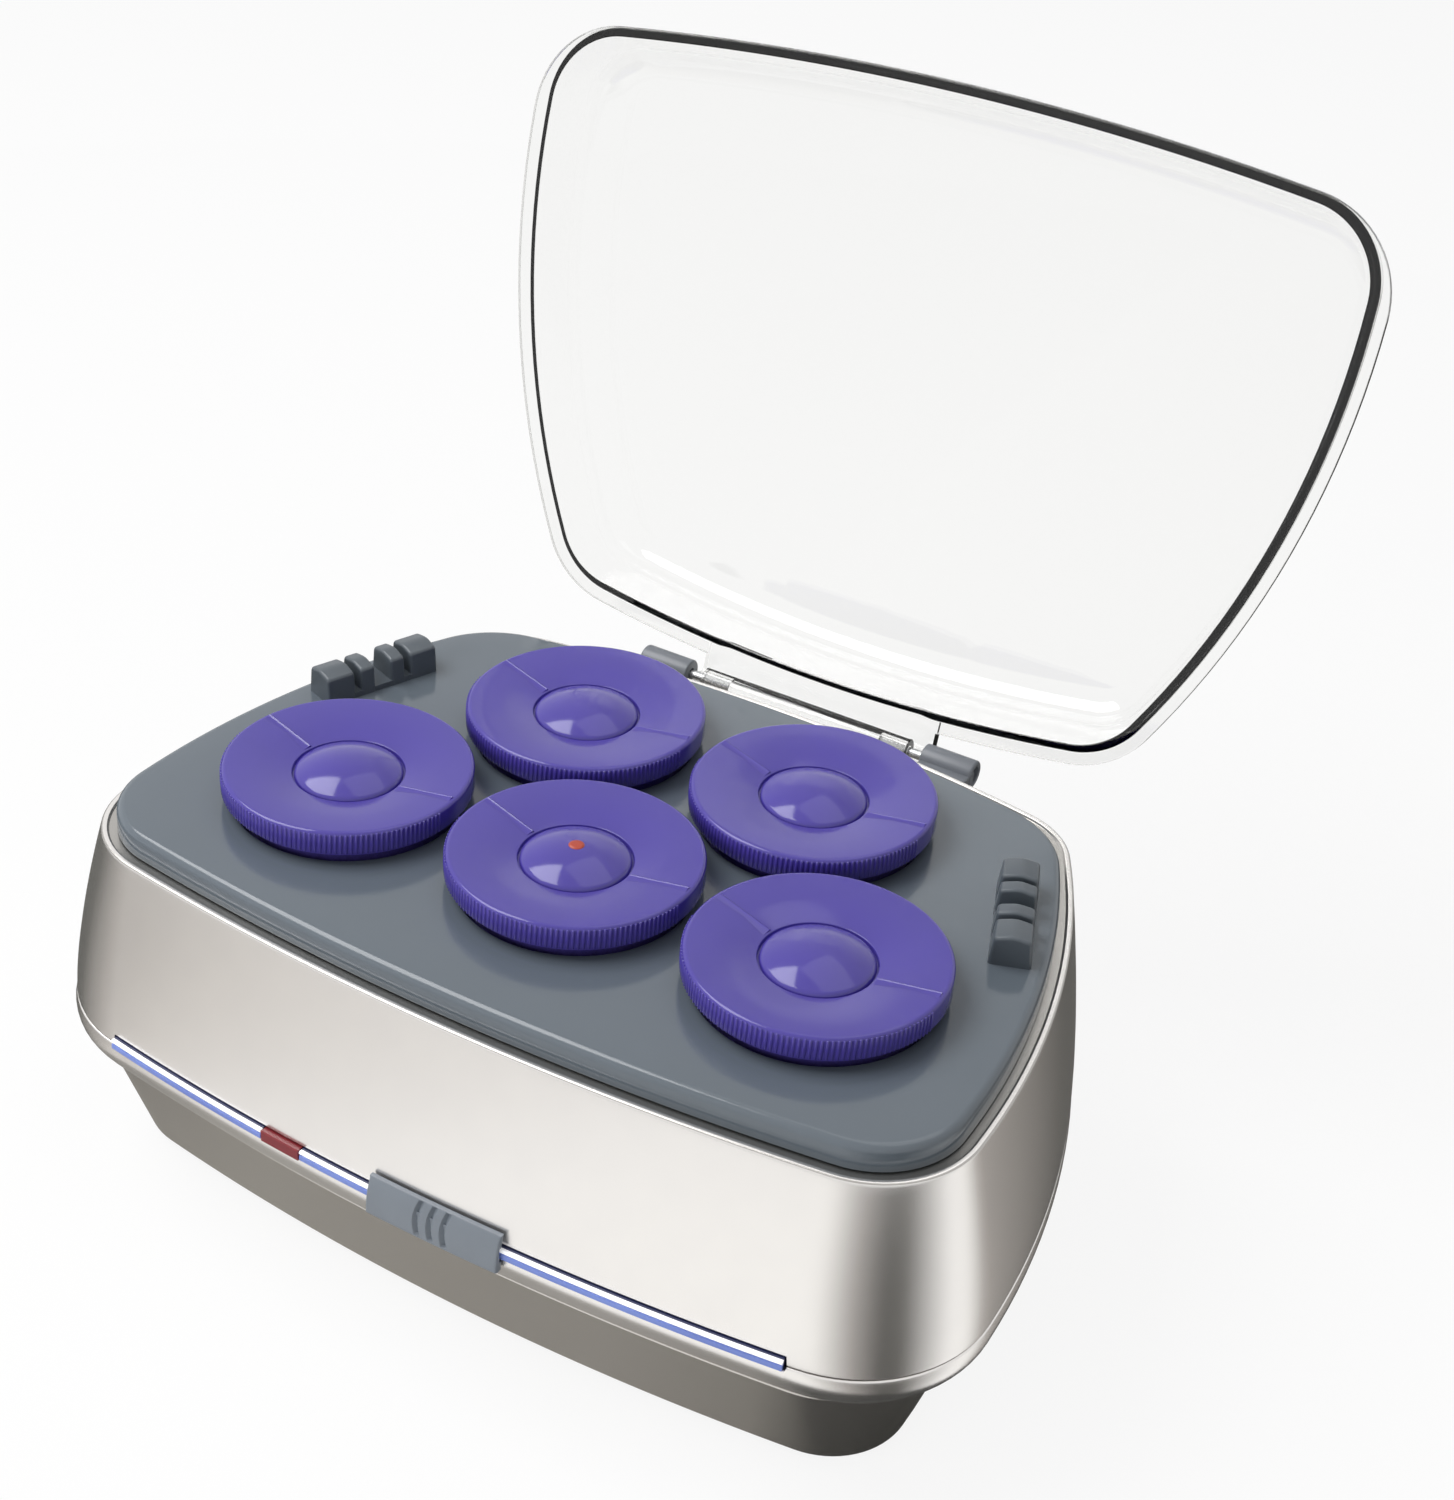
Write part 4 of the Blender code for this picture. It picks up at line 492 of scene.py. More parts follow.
def rib_tree():
    """Upright half-round ribs along an arc of the cap's rim."""
    tree = new_tree("cap_ribs", (
        ("Count", "NodeSocketInt", 79), ("Radius", "NodeSocketFloat", CAP_RADIUS),
        ("Height", "NodeSocketFloat", 0.32 * MM), ("Width", "NodeSocketFloat", 0.8 * MM),
        ("Length", "NodeSocketFloat", 5.0 * MM), ("Start", "NodeSocketFloat", 0.0),
        ("Step", "NodeSocketFloat", 0.04), ("Centre", "NodeSocketVector", None),
        ("Material", "NodeSocketMaterial", None)))
    given = add_node(tree, "NodeGroupInput").outputs
    line = add_node(tree, "GeometryNodeMeshLine", {"mode": "OFFSET"}, {"Count": given["Count"]})
    index = add_node(tree, "GeometryNodeInputIndex")
    angle = add_node(tree, "ShaderNodeMath", {"operation": "MULTIPLY_ADD"},
                     {0: index.outputs[0], 1: given["Step"], 2: given["Start"]})
    cosine = add_node(tree, "ShaderNodeMath", {"operation": "COSINE"}, {0: angle.outputs[0]})
    sine = add_node(tree, "ShaderNodeMath", {"operation": "SINE"}, {0: angle.outputs[0]})
    ray = add_node(tree, "ShaderNodeCombineXYZ", {}, {"X": cosine.outputs[0], "Y": sine.outputs[0]})
    place = add_node(tree, "ShaderNodeVectorMath", {"operation": "MULTIPLY_ADD"},
                     {0: ray.outputs[0], 1: given["Radius"], 2: given["Centre"]})
    points = add_node(tree, "GeometryNodeSetPosition", {},
                      {"Geometry": line.outputs[0], "Position": place.outputs[0]})
    rod = add_node(tree, "GeometryNodeMeshUVSphere", {}, {"Segments": 8, "Rings": 4, "Radius": 1.0})
    half_width = add_node(tree, "ShaderNodeMath", {"operation": "MULTIPLY"}, {0: given["Width"], 1: 0.5})
    half_length = add_node(tree, "ShaderNodeMath", {"operation": "MULTIPLY"}, {0: given["Length"], 1: 0.5})
    size = add_node(tree, "ShaderNodeCombineXYZ", {}, {
        "X": given["Height"], "Y": half_width.outputs[0], "Z": half_length.outputs[0]})
    turn = add_node(tree, "ShaderNodeCombineXYZ", {}, {"Z": angle.outputs[0]})
    squared = add_node(tree, "GeometryNodeSetPosition", {}, {
        "Geometry": rod.outputs[0], "Position": square_ends(tree)})
    ribs = add_node(tree, "GeometryNodeInstanceOnPoints", {}, {
        "Points": points.outputs[0], "Instance": squared.outputs[0], "Rotation": turn.outputs[0],
        "Scale": size.outputs[0]})
    real = add_node(tree, "GeometryNodeRealizeInstances", {}, {"Geometry": ribs.outputs[0]})
    finished = add_node(tree, "GeometryNodeSetMaterial", {}, {
        "Geometry": real.outputs[0], "Material": given["Material"]})
    add_node(tree, "NodeGroupOutput", {}, {"Geometry": finished.outputs[0]})
    return tree


def square_ends(tree):
    """A unit ball's points pushed up and down, so that a rib is straight with rounded ends."""
    place = add_node(tree, "GeometryNodeInputPosition")
    parts = add_node(tree, "ShaderNodeSeparateXYZ", {}, {0: place.outputs[0]})
    steep = add_node(tree, "ShaderNodeMath", {"operation": "ABSOLUTE"}, {0: parts.outputs["Z"]})
    root = add_node(tree, "ShaderNodeMath", {"operation": "POWER"}, {0: steep.outputs[0], 1: 0.25})
    sign = add_node(tree, "ShaderNodeMath", {"operation": "SIGN"}, {0: parts.outputs["Z"]})
    height = add_node(tree, "ShaderNodeMath", {"operation": "MULTIPLY"},
                      {0: root.outputs[0], 1: sign.outputs[0]})
    whole = add_node(tree, "ShaderNodeCombineXYZ", {}, {
        "X": parts.outputs["X"], "Y": parts.outputs["Y"], "Z": height.outputs[0]})
    return whole.outputs[0]


def screw_tree():
    """Pan-head screws with a cross slot's floor, one at each point of the mesh that it is given."""
    tree = new_tree("screws", (
        ("Head radius", "NodeSocketFloat", 3.2 * MM), ("Head height", "NodeSocketFloat", 2.2 * MM),
        ("Shank radius", "NodeSocketFloat", 1.6 * MM), ("Length", "NodeSocketFloat", 10.0 * MM),
        ("Turn", "NodeSocketFloat", 0.0), ("Material", "NodeSocketMaterial", None)))
    given = add_node(tree, "NodeGroupInput").outputs
    head = add_node(tree, "GeometryNodeMeshCone", {}, {
        "Vertices": 32, "Side Segments": 2, "Radius Bottom": given["Head radius"],
        "Depth": given["Head height"]})
    top = add_node(tree, "ShaderNodeMath", {"operation": "MULTIPLY"}, {0: given["Head radius"], 1: 0.78})
    tree.links.new(top.outputs[0], head.inputs["Radius Top"])
    shank = add_node(tree, "GeometryNodeMeshCylinder", {}, {
        "Vertices": 24, "Radius": given["Shank radius"], "Depth": given["Length"]})
    low = add_node(tree, "ShaderNodeMath", {"operation": "MULTIPLY"}, {0: given["Length"], 1: -0.5})
    drop = add_node(tree, "ShaderNodeCombineXYZ", {}, {"Z": low.outputs[0]})
    lowered = add_node(tree, "GeometryNodeTransform", {}, {
        "Geometry": shank.outputs[0], "Translation": drop.outputs[0]})
    slot_width = add_node(tree, "ShaderNodeMath", {"operation": "MULTIPLY"},
                          {0: given["Head radius"], 1: 0.26})
    slot_length = add_node(tree, "ShaderNodeMath", {"operation": "MULTIPLY"},
                           {0: given["Head radius"], 1: 1.15})
    slot_size = add_node(tree, "ShaderNodeCombineXYZ", {}, {
        "X": slot_length.outputs[0], "Y": slot_width.outputs[0], "Z": given["Head height"]})
    bar = add_node(tree, "GeometryNodeMeshCube", {}, {"Size": slot_size.outputs[0]})
    raised = add_node(tree, "ShaderNodeCombineXYZ", {}, {"Z": given["Head height"]})
    first = add_node(tree, "GeometryNodeTransform", {}, {
        "Geometry": bar.outputs[0], "Translation": raised.outputs[0]})
    second = add_node(tree, "GeometryNodeTransform", {}, {
        "Geometry": bar.outputs[0], "Translation": raised.outputs[0],
        "Rotation": (0.0, 0.0, math.pi / 2)})
    driven = add_node(tree, "GeometryNodeMeshBoolean", {"operation": "DIFFERENCE", "solver": "EXACT"},
                      {"Mesh 1": head.outputs[0]})
    tree.links.new(first.outputs[0], driven.inputs["Mesh 2"])
    tree.links.new(second.outputs[0], driven.inputs["Mesh 2"])
    whole = add_node(tree, "GeometryNodeJoinGeometry")
    tree.links.new(driven.outputs[0], whole.inputs[0])
    tree.links.new(lowered.outputs[0], whole.inputs[0])
    turn = add_node(tree, "ShaderNodeCombineXYZ", {}, {"X": given["Turn"]})
    screws = add_node(tree, "GeometryNodeInstanceOnPoints", {}, {
        "Points": given["Geometry"], "Instance": whole.outputs[0], "Rotation": turn.outputs[0]})
    real = add_node(tree, "GeometryNodeRealizeInstances", {}, {"Geometry": screws.outputs[0]})
    finished = add_node(tree, "GeometryNodeSetMaterial", {}, {
        "Geometry": real.outputs[0], "Material": given["Material"]})
    add_node(tree, "NodeGroupOutput", {}, {"Geometry": finished.outputs[0]})
    return tree


# Finishes

def linear(code):
    """A six-figure sRGB hex colour as linear values."""
    channels = [int(code[i:i + 2], 16) / 255 for i in (0, 2, 4)]
    return (*[c / 12.92 if c <= 0.04045 else ((c + 0.055) / 1.055) ** 2.4 for c in channels], 1.0)


def surface(name, colours, roughness, grain, patch, depth, **shader_inputs):
    """A finish whose colour and roughness drift over patches, under a fine raised grain.

    colours and roughness are pairs that it drifts between; grain, patch and depth are in metres.
    """
    material = bpy.data.materials.new(name)
    material.use_nodes = True
    tree = material.node_tree
    shader = tree.nodes["Principled BSDF"]
    for label, value in shader_inputs.items():
        shader.inputs[label.replace("_", " ")].default_value = value
    place = add_node(tree, "ShaderNodeTexCoord").outputs["Object"]
    drift = add_node(tree, "ShaderNodeTexNoise", {}, {"Vector": place, "Scale": 1 / patch, "Detail": 3.0})
    fine = add_node(tree, "ShaderNodeTexNoise", {}, {"Vector": place, "Scale": 1 / grain, "Detail": 2.0})
    colour = add_node(tree, "ShaderNodeMix", {"data_type": "RGBA"}, {
        "Factor": drift.outputs[0], 6: linear(colours[0]), 7: linear(colours[1])})
    rough = add_node(tree, "ShaderNodeMapRange", {}, {
        "Value": fine.outputs[0], "From Min": 0.3, "From Max": 0.7,
        "To Min": roughness[0], "To Max": roughness[1]})
    bump = add_node(tree, "ShaderNodeBump", {}, {
        "Strength": 1.0, "Distance": depth, "Height": fine.outputs[0]})
    tree.links.new(colour.outputs[2], shader.inputs["Base Color"])
    tree.links.new(rough.outputs[0], shader.inputs["Roughness"])
    tree.links.new(bump.outputs[0], shader.inputs["Normal"])
    return material


def silver_paint(name, code):
    # Metallic spray paint on moulded ABS: fine flakes glitter softly under a satin film, with a
    # faint orange peel.  The flakes are drawn at 0.5 mm, coarser than the real 0.05 mm.
    return surface(name, (code, shade(code, 0.98)), (0.25, 0.27), 0.5 * MM, 9.0 * MM, 0.0002 * MM,
                   Metallic=0.92)


def shade(code, factor):
    """A hex colour made darker or lighter."""
    return "".join("%02X" % min(255, round(int(code[i:i + 2], 16) * factor)) for i in (0, 2, 4))


def gloss_abs(name, code, roughness=(0.11, 0.16)):
    # ABS from a polished mould: an even, glossy skin that mirrors the caps, with slow sink marks.
    return surface(name, (code, shade(code, 1.04)), roughness, 3.0 * MM, 22.0 * MM, 0.004 * MM,
                   IOR=1.53)


def satin_abs(name, code):
    # ABS from a spark-eroded mould: a fine satin texture that spreads the highlights.
    return surface(name, (code, shade(code, 0.94)), (0.3, 0.4), 0.4 * MM, 7.0 * MM, 0.008 * MM,
                   IOR=1.53)


def soft_plastic(name, code):
    # Polypropylene from a smooth mould: waxy, a little light comes back from inside, with broad
    # highlights and faint flow marks.
    return surface(name, (code, shade(code, 1.05)), (0.09, 0.14), 1.6 * MM, 14.0 * MM, 0.0015 * MM,
                   IOR=1.49, Subsurface_Weight=0.12, Subsurface_Scale=1.2 * MM,
                   Subsurface_Radius=(0.6, 0.5, 1.0))


def clear_plastic(name, code):
    # Clear acrylic from a polished mould: it bends light strongly at rims and folds, and its
    # panel carries a very faint flow ripple.
    return surface(name, (code, shade(code, 0.995)), (0.0, 0.012), 30.0 * MM, 60.0 * MM, 0.002 * MM,
                   IOR=1.49, Transmission_Weight=1.0)


def tinted_acrylic(name, code, light):
    # Coloured acrylic from a polished mould: it glows a little from inside and is glossy outside.
    return surface(name, (code, light), (0.06, 0.1), 2.0 * MM, 30.0 * MM, 0.002 * MM,
                   IOR=1.49, Transmission_Weight=0.25)


def acrylic_painted_glow(name, code):
    # White diffusing acrylic: an even milky face. Its faint emission is a painted glow that brightens the
    # bar's white top, which the softboxes hardly reach.
    return surface(name, (code, shade(code, 0.98)), (0.15, 0.2), 1.0 * MM, 12.0 * MM, 0.002 * MM,
                   IOR=1.49, Emission_Color=linear(code), Emission_Strength=0.3)


def flocked_cloth(name, code):
    # Nylon flock on a tube: short upright fibres that look dark head on and pale at the edges.
    # The fibres are drawn at 0.4 mm, coarser than the real 0.05 mm.
    return surface(name, (code, shade(code, 0.7)), (0.85, 0.98), 0.4 * MM, 2.5 * MM, 0.12 * MM,
                   Sheen_Weight=0.7, Sheen_Roughness=0.4, Sheen_Tint=linear("B7AEE8"))


def worked_metal(name, code, roughness, grain=0.6 * MM):
    # Bare metal with fine tool marks: a soft grey mirror that varies from patch to patch.
    return surface(name, (code, shade(code, 0.9)), roughness, grain, 6.0 * MM, 0.004 * MM,
                   Metallic=1.0)


def moulded_rubber(name, code):
    # Matt synthetic rubber: dark and dull, with a dusty, finely pitted face.
    return surface(name, (code, shade(code, 1.35)), (0.75, 0.9), 0.5 * MM, 4.0 * MM, 0.03 * MM)


def fired_ceramic(name, code):
    # Unglazed steatite: chalky off-white with a fine pressed grain.
    return surface(name, (code, shade(code, 0.93)), (0.55, 0.7), 0.5 * MM, 5.0 * MM, 0.02 * MM)


def nylon(name, code):
    # Moulded nylon: dull and slightly mottled.
    return surface(name, (code, shade(code, 0.92)), (0.4, 0.5), 0.7 * MM, 6.0 * MM, 0.01 * MM, IOR=1.53)


def finish_node(node, material):
    """A new finish for a node whose shape is kept."""
    for slot in frame["nodes"][node].material_slots:
        slot.material = material


def settings():
    return bpy.context.scene.heated_rollers


# Case

def notched(sections, plan_rings):
    """Rings from two sections: the second is used across the light bar's slot."""
    outside, inside = (plan_rings(section) for section in sections)
    rings = []
    for far, near in zip(outside, inside):
        count = len(far)
        last = HALF_FRONT_STEPS
        rings.append([near[i] if i <= last or i >= count - last else far[i] for i in range(count)])
    return rings


def shell_section(bottom):
    """(flare, inset, z) points up the skin and down the inner face, without the tray opening."""
    edge = settings().case.edge
    top = LEDGE_Z - 0.9 * MM
    corners = [((shell_flare(bottom), 0.8 * MM, bottom), 0.0), ((shell_flare(bottom), 0.0, bottom), edge)]
    corners += [((shell_flare(z), 0.0, z), 0.0) for z in steps(bottom + 1.5 * MM, top, 24)]
    corners += [((0.0, 0.05 * MM, LEDGE_Z), 0.55 * MM), ((0.0, 1.35 * MM, LEDGE_Z), 0.4 * MM),
                ((0.0, 1.7 * MM, LEDGE_FLOOR), 0.2 * MM), ((0.0, 2.6 * MM, LEDGE_FLOOR), 0.0)]
    return rounded(corners)


def shell_rings(section):
    rings = [CASE.ring(*point) for point in section]
    rings += [TRAY.ring(0.0, 5.0 * MM, LEDGE_FLOOR), TRAY.ring(0.0, 5.0 * MM, LEDGE_FLOOR - WALL)]
    bottom = section[0].z
    rings += [CASE.ring(shell_flare(z), WALL, z) for z in steps(LEDGE_FLOOR - WALL, bottom, 12)]
    return rings


class HEATEDROLLERS_OT_upper_shell(bpy.types.Operator):
    """Makes the upper shell with its ledge and bead"""

    bl_idname = "heated_rollers.upper_shell"
    bl_label = "Upper shell"

    def execute(self, context):
        bm = bmesh.new()
        sections = shell_section(SEAM_Z + 0.15 * MM), shell_section(BAR_HIGH + FIT)
        skin(bm, notched(sections, shell_rings))
        paint = silver_paint("satin_silver_paint", settings().case.silver)
        shell = piece(bm, "upper_shell_skin", paint, "case", ["upper_shell"])
        # Painted shade: the upward ledge faces get the darker silver, standing in for the dark reflections
        # they catch.
        shell.data.materials.append(silver_paint("silver_paint_ledge_painted_shade", settings().case.ledge))
        for face in shell.data.polygons:
            if face.normal.z > 0.5 and LEDGE_FLOOR - 0.1 * MM < face.center.z < LEDGE_Z - 0.05 * MM:
                face.material_index = 1
        return {"FINISHED"}


def band_section(top):
    """(flare, inset, z) points from the inner top edge down the band's skin to its inner bottom."""
    low = JOIN_Z + 0.15 * MM
    corners = [((band_flare(top), WALL, top), 0.0), ((band_flare(top), 0.0, top), settings().case.edge)]
    corners += [((band_flare(z), 0.0, z), 0.0) for z in steps(top - 0.8 * MM, low, 18)[:-1]]
    corners += [((band_flare(low), 0.0, low), settings().case.edge), ((band_flare(low), WALL, low), 0.0)]
    return rounded(corners)


class HEATEDROLLERS_OT_lower_band(bpy.types.Operator):
    """Makes the rounded band under the parting line"""

    bl_idname = "heated_rollers.lower_band"
    bl_label = "Lower band"

    def execute(self, context):
        bm = bmesh.new()
        sections = band_section(SEAM_Z - 0.15 * MM), band_section(BAR_LOW - FIT)
        skin(bm, notched(sections, lambda section: [CASE.ring(*point) for point in section]))
        paint = silver_paint("satin_silver_paint_band", settings().case.silver)
        piece(bm, "lower_band_skin", paint, "case", ["lower_band"])
        return {"FINISHED"}


def base_rings():
    """From the outer bottom edge up the taper, over the lip and down the inside."""
    top = JOIN_Z - 0.15 * MM
    taper = 9.6 * MM
    lip_flare = band_flare(JOIN_Z)
    corners = [((-taper, 3.0 * MM, BASE_Z), 0.0), ((-taper, 0.0, BASE_Z), 1.8 * MM),
               ((0.0, 0.0, top), 0.5 * MM), ((0.0, 3.0 * MM, top), 0.0)]
    rings = [BASE.ring(*point) for point in rounded(corners, 8)]
    rings += [CASE.ring(lip_flare, WALL + FIT, top), CASE.ring(lip_flare, WALL + FIT, top + 2.0 * MM),
              CASE.ring(lip_flare, WALL + FIT + 1.5 * MM, top + 2.0 * MM),
              BASE.ring(-1.0 * MM, 2 * WALL, top - 2.0 * MM),
              BASE.ring(-8.6 * MM, WALL, BASE_Z + WALL)]
    return rings


class HEATEDROLLERS_OT_base(bpy.types.Operator):
    """Makes the tapered base with its screw pockets"""

    bl_idname = "heated_rollers.base"
    bl_label = "Base"

    def execute(self, context):
        bm = bmesh.new()
        skin(bm, base_rings(), loop=False)
        bmesh.ops.recalc_face_normals(bm, faces=bm.faces)
        obj = as_object(bm, "base_tub")
        screws = [middle_of("case_screw_%d" % number) for number in range(1, 5)]
        for name, operation, low, high, radius in (
                ("bosses", "UNION", BASE_Z + 1.0 * MM, JOIN_Z, 5.2 * MM),
                ("pockets", "DIFFERENCE", BASE_Z - 1.0 * MM, BASE_Z + 6.0 * MM, 3.5 * MM)):
            tool = bmesh.new()
            for place in screws:
                lathe(tool, ((0.0, low), (radius, low), (radius, high), (0.0, high)),
                      Matrix.Translation((place.x, place.y, 0.0)), 32)
            bmesh.ops.recalc_face_normals(tool, faces=tool.faces)
            cut(obj, as_object(tool, name), operation)
        paint = silver_paint("satin_silver_paint_base", settings().case.warm_silver)
        settle(obj, paint, "case", ["base"])
        return {"FINISHED"}


# Tray and racks

class HEATEDROLLERS_OT_roller_tray(bpy.types.Operator):
    """Makes the glossy tray with its five wells"""

    bl_idname = "heated_rollers.roller_tray"
    bl_label = "Roller tray"

    def execute(self, context):
        bm = bmesh.new()
        low = LEDGE_FLOOR + FIT
        corners = [((0.0, WALL, TRAY_Z - WALL), 0.0), ((0.0, WALL, low), 0.0), ((0.0, 0.0, low), 0.3 * MM),
                   ((0.0, 0.1 * MM, TRAY_Z), 2.0 * MM), ((0.0, 8.0 * MM, TRAY_Z), 0.0)]
        skin(bm, [TRAY.ring(*point) for point in rounded(corners, 8)], loop=False)
        bmesh.ops.recalc_face_normals(bm, faces=bm.faces)
        obj = as_object(bm, "tray_plate")
        rim = 1.0 * MM
        holes = bmesh.new()
        wells = bmesh.new()
        for roller in ROLLERS:
            spot = upright(roller + "_cap")
            lathe(holes, ((0.0, TRAY_Z - 5 * MM), (WELL_RADIUS + rim, TRAY_Z - 5 * MM),
                          (WELL_RADIUS + rim, TRAY_Z + 5 * MM), (0.0, TRAY_Z + 5 * MM)), spot)
            corners = (((WELL_RADIUS, WELL_LOW), 0.0), ((WELL_RADIUS, TRAY_Z), rim),
                       ((WELL_RADIUS + rim, TRAY_Z), 0.0), ((WELL_RADIUS + rim, WELL_LOW), 0.0))
            lathe(wells, rounded_line(corners, 6), spot, loop=True)
        bmesh.ops.recalc_face_normals(holes, faces=holes.faces)
        cut(obj, as_object(holes, "holes"))
        bmesh.ops.recalc_face_normals(wells, faces=wells.faces)
        wells.from_mesh(obj.data)
        bpy.data.objects.remove(obj)
        gloss = gloss_abs("gloss_moulded_abs", settings().case.slate)
        piece(wells, "roller_tray_top", gloss, "case", ["roller_tray"])
        return {"FINISHED"}


def rack_fin(bm, matrix, y_from, y_to):
    """One rounded tooth of a clip rack, wider at its foot and crowned on top."""
    foot, half_base, half_top, height = -0.5 * MM, 4.8 * MM, 4.1 * MM, 7.8 * MM
    corners = [((-half_base, foot), 0.0), ((half_base, foot), 0.0), ((half_top, height - 0.9 * MM), 1.1 * MM),
               ((0.0, height), 6.0 * MM), ((-half_top, height - 0.9 * MM), 1.1 * MM)]
    section = rounded(corners, 6, loop=True)
    shrink = 0.75 * MM
    ends = []
    for share in steps(0.0, 1.0, 5):
        angle = share * math.pi / 2
        reach, inset = shrink * (1 - math.sin(angle)), shrink * (1 - math.cos(angle))
        ends += [(y_from + reach, inset), (y_to - reach, inset)]
    skin(bm, [[matrix @ Vector((x * (1 - inset / half_base), y, z - (inset if z > 3 * MM else 0.0)))
               for x, z in section] for y, inset in sorted(ends)], loop=False)


class HEATEDROLLERS_OT_clip_racks(bpy.types.Operator):
    """Makes the two slotted racks that hold the clips"""

    bl_idname = "heated_rollers.clip_racks"
    bl_label = "Clip racks"

    def execute(self, context):
        satin = satin_abs("satin_moulded_abs", shade(settings().case.slate, 0.86))
        for side, node in ((-1, "clip_rack_left"), (1, "clip_rack_right")):
            bm = bmesh.new()
            place = Matrix.Translation((side * 87.3 * MM, ROW_Y + 43.8 * MM, TRAY_Z))
            matrix = place @ Matrix.Rotation(side * math.radians(20.5), 4, "Z")
            for y_from, y_to in ((-15.6, -8.0), (-6.3, -2.3), (2.3, 6.3), (8.0, 15.6)):
                rack_fin(bm, matrix, y_from * MM, y_to * MM)
            block(bm, (0.0, 0.0, 0.45 * MM), (9.2 * MM, 30.0 * MM, 1.9 * MM), matrix)
            piece(bm, node + "_teeth", satin, "case", [node], 50.0)
        return {"FINISHED"}


# Rollers

def dome_height(radius):
    """Height of the cap's dome at a radius."""
    edge_drop = 3.6 * MM
    foot = 12.5 * MM
    sphere = (foot ** 2 + edge_drop ** 2) / (2 * edge_drop)
    return CAP_Z + 1.2 * MM - sphere + math.sqrt(sphere ** 2 - radius ** 2)


def cap_profile():
    """The dome, its well, the dished top, the rim with its lower lip, and the collar inside."""
    well = CAP_Z - 3.2 * MM
    dome = [((radius, dome_height(radius)), 0.0) for radius in steps(0.0, 12.2 * MM, 16)]
    corners = dome + [
        ((12.4 * MM, well), 0.1 * MM), ((12.75 * MM, well), 0.1 * MM),
        ((12.9 * MM, CAP_Z - 2.3 * MM), 0.3 * MM),
        ((20.0 * MM, CAP_Z - 1.15 * MM), 30.0 * MM), ((CAP_RADIUS - 0.3 * MM, CAP_Z), 1.0 * MM),
        ((CAP_RADIUS - 0.25 * MM, CAP_Z - 5.5 * MM), 0.3 * MM),
        ((CAP_RADIUS - 1.0 * MM, CAP_Z - 5.5 * MM), 0.15 * MM),
        ((CAP_RADIUS - 1.0 * MM, CAP_UNDER_Z), 0.3 * MM), ((23.4 * MM, CAP_UNDER_Z), 0.2 * MM),
        ((23.4 * MM, CAP_UNDER_Z - 5.5 * MM), 0.3 * MM), ((21.4 * MM, CAP_UNDER_Z - 5.5 * MM), 0.3 * MM),
        ((21.4 * MM, CAP_UNDER_Z + 2.0 * MM), 0.3 * MM), ((15.0 * MM, CAP_Z - 4.2 * MM), 0.3 * MM),
        ((13.0 * MM, well - 2.0 * MM), 0.3 * MM), ((8.7 * MM, well - 1.0 * MM), 0.5 * MM),
        ((0.0, CAP_Z - 0.8 * MM), 0.0)]
    return rounded_line(corners)


def seam_ridge(bm, spot):
    """The low moulded step across each side of the cap's dished top."""
    for side, turn in ((-1, -11.0), (1, 4.0)):
        spin = spot @ Matrix.Rotation(math.radians(turn), 4, "Z")
        rings = []
        for radius in steps(13.4 * MM, CAP_RADIUS - 1.4 * MM, 14):
            top = CAP_Z - 2.2 * MM + 2.2 * MM * (radius - 13.0 * MM) / (CAP_RADIUS - 13.3 * MM)
            line = ((0.45, -0.2), (0.25, 0.22), (0.0, 0.34), (-0.25, 0.22), (-0.9, 0.1), (-3.2, -0.2))
            rings.append([spin @ Vector((side * radius, y * MM, top + rise * MM)) for y, rise in line])
        skin(bm, rings, loop=False)


def cap_ribs(place, name, material):
    """The ribs round the front of a cap, as a plain mesh."""
    values = settings().rollers
    step = values.rib_pitch / CAP_RADIUS
    count = int(values.rib_sweep / step)
    host = bpy.data.objects.new(name, bpy.data.meshes.new(name))
    bpy.context.scene.collection.objects.link(host)
    tree = bpy.data.node_groups.get("cap_ribs") or rib_tree()
    run_tree(host, tree, {
        "Count": count, "Radius": CAP_RADIUS - 0.3 * MM, "Height": values.rib_height,
        "Width": values.rib_pitch * 0.8, "Length": 5.1 * MM, "Step": step,
        "Start": -math.pi / 2 - step * (count - 1) / 2,
        "Centre": (place.x, place.y, CAP_Z - 3.1 * MM), "Material": material})
    return host


class HEATEDROLLERS_OT_caps(bpy.types.Operator):
    """Makes the five ribbed purple caps"""

    bl_idname = "heated_rollers.caps"
    bl_label = "Caps"

    def execute(self, context):
        plastic = soft_plastic("moulded_polypropylene", settings().rollers.purple)
        for roller in ROLLERS:
            spot = upright(roller + "_cap")
            ribs = cap_ribs(spot.translation, roller + "_ribs", plastic)
            bm = bmesh.new()
            lathe(bm, cap_profile(), spot, 160)
            seam_ridge(bm, spot)
            bmesh.ops.recalc_face_normals(bm, faces=bm.faces)
            bm.from_mesh(ribs.data)
            bpy.data.objects.remove(ribs)
            piece(bm, roller + "_cap_moulding", plastic, roller, [roller + "_cap"], 50.0)
        return {"FINISHED"}


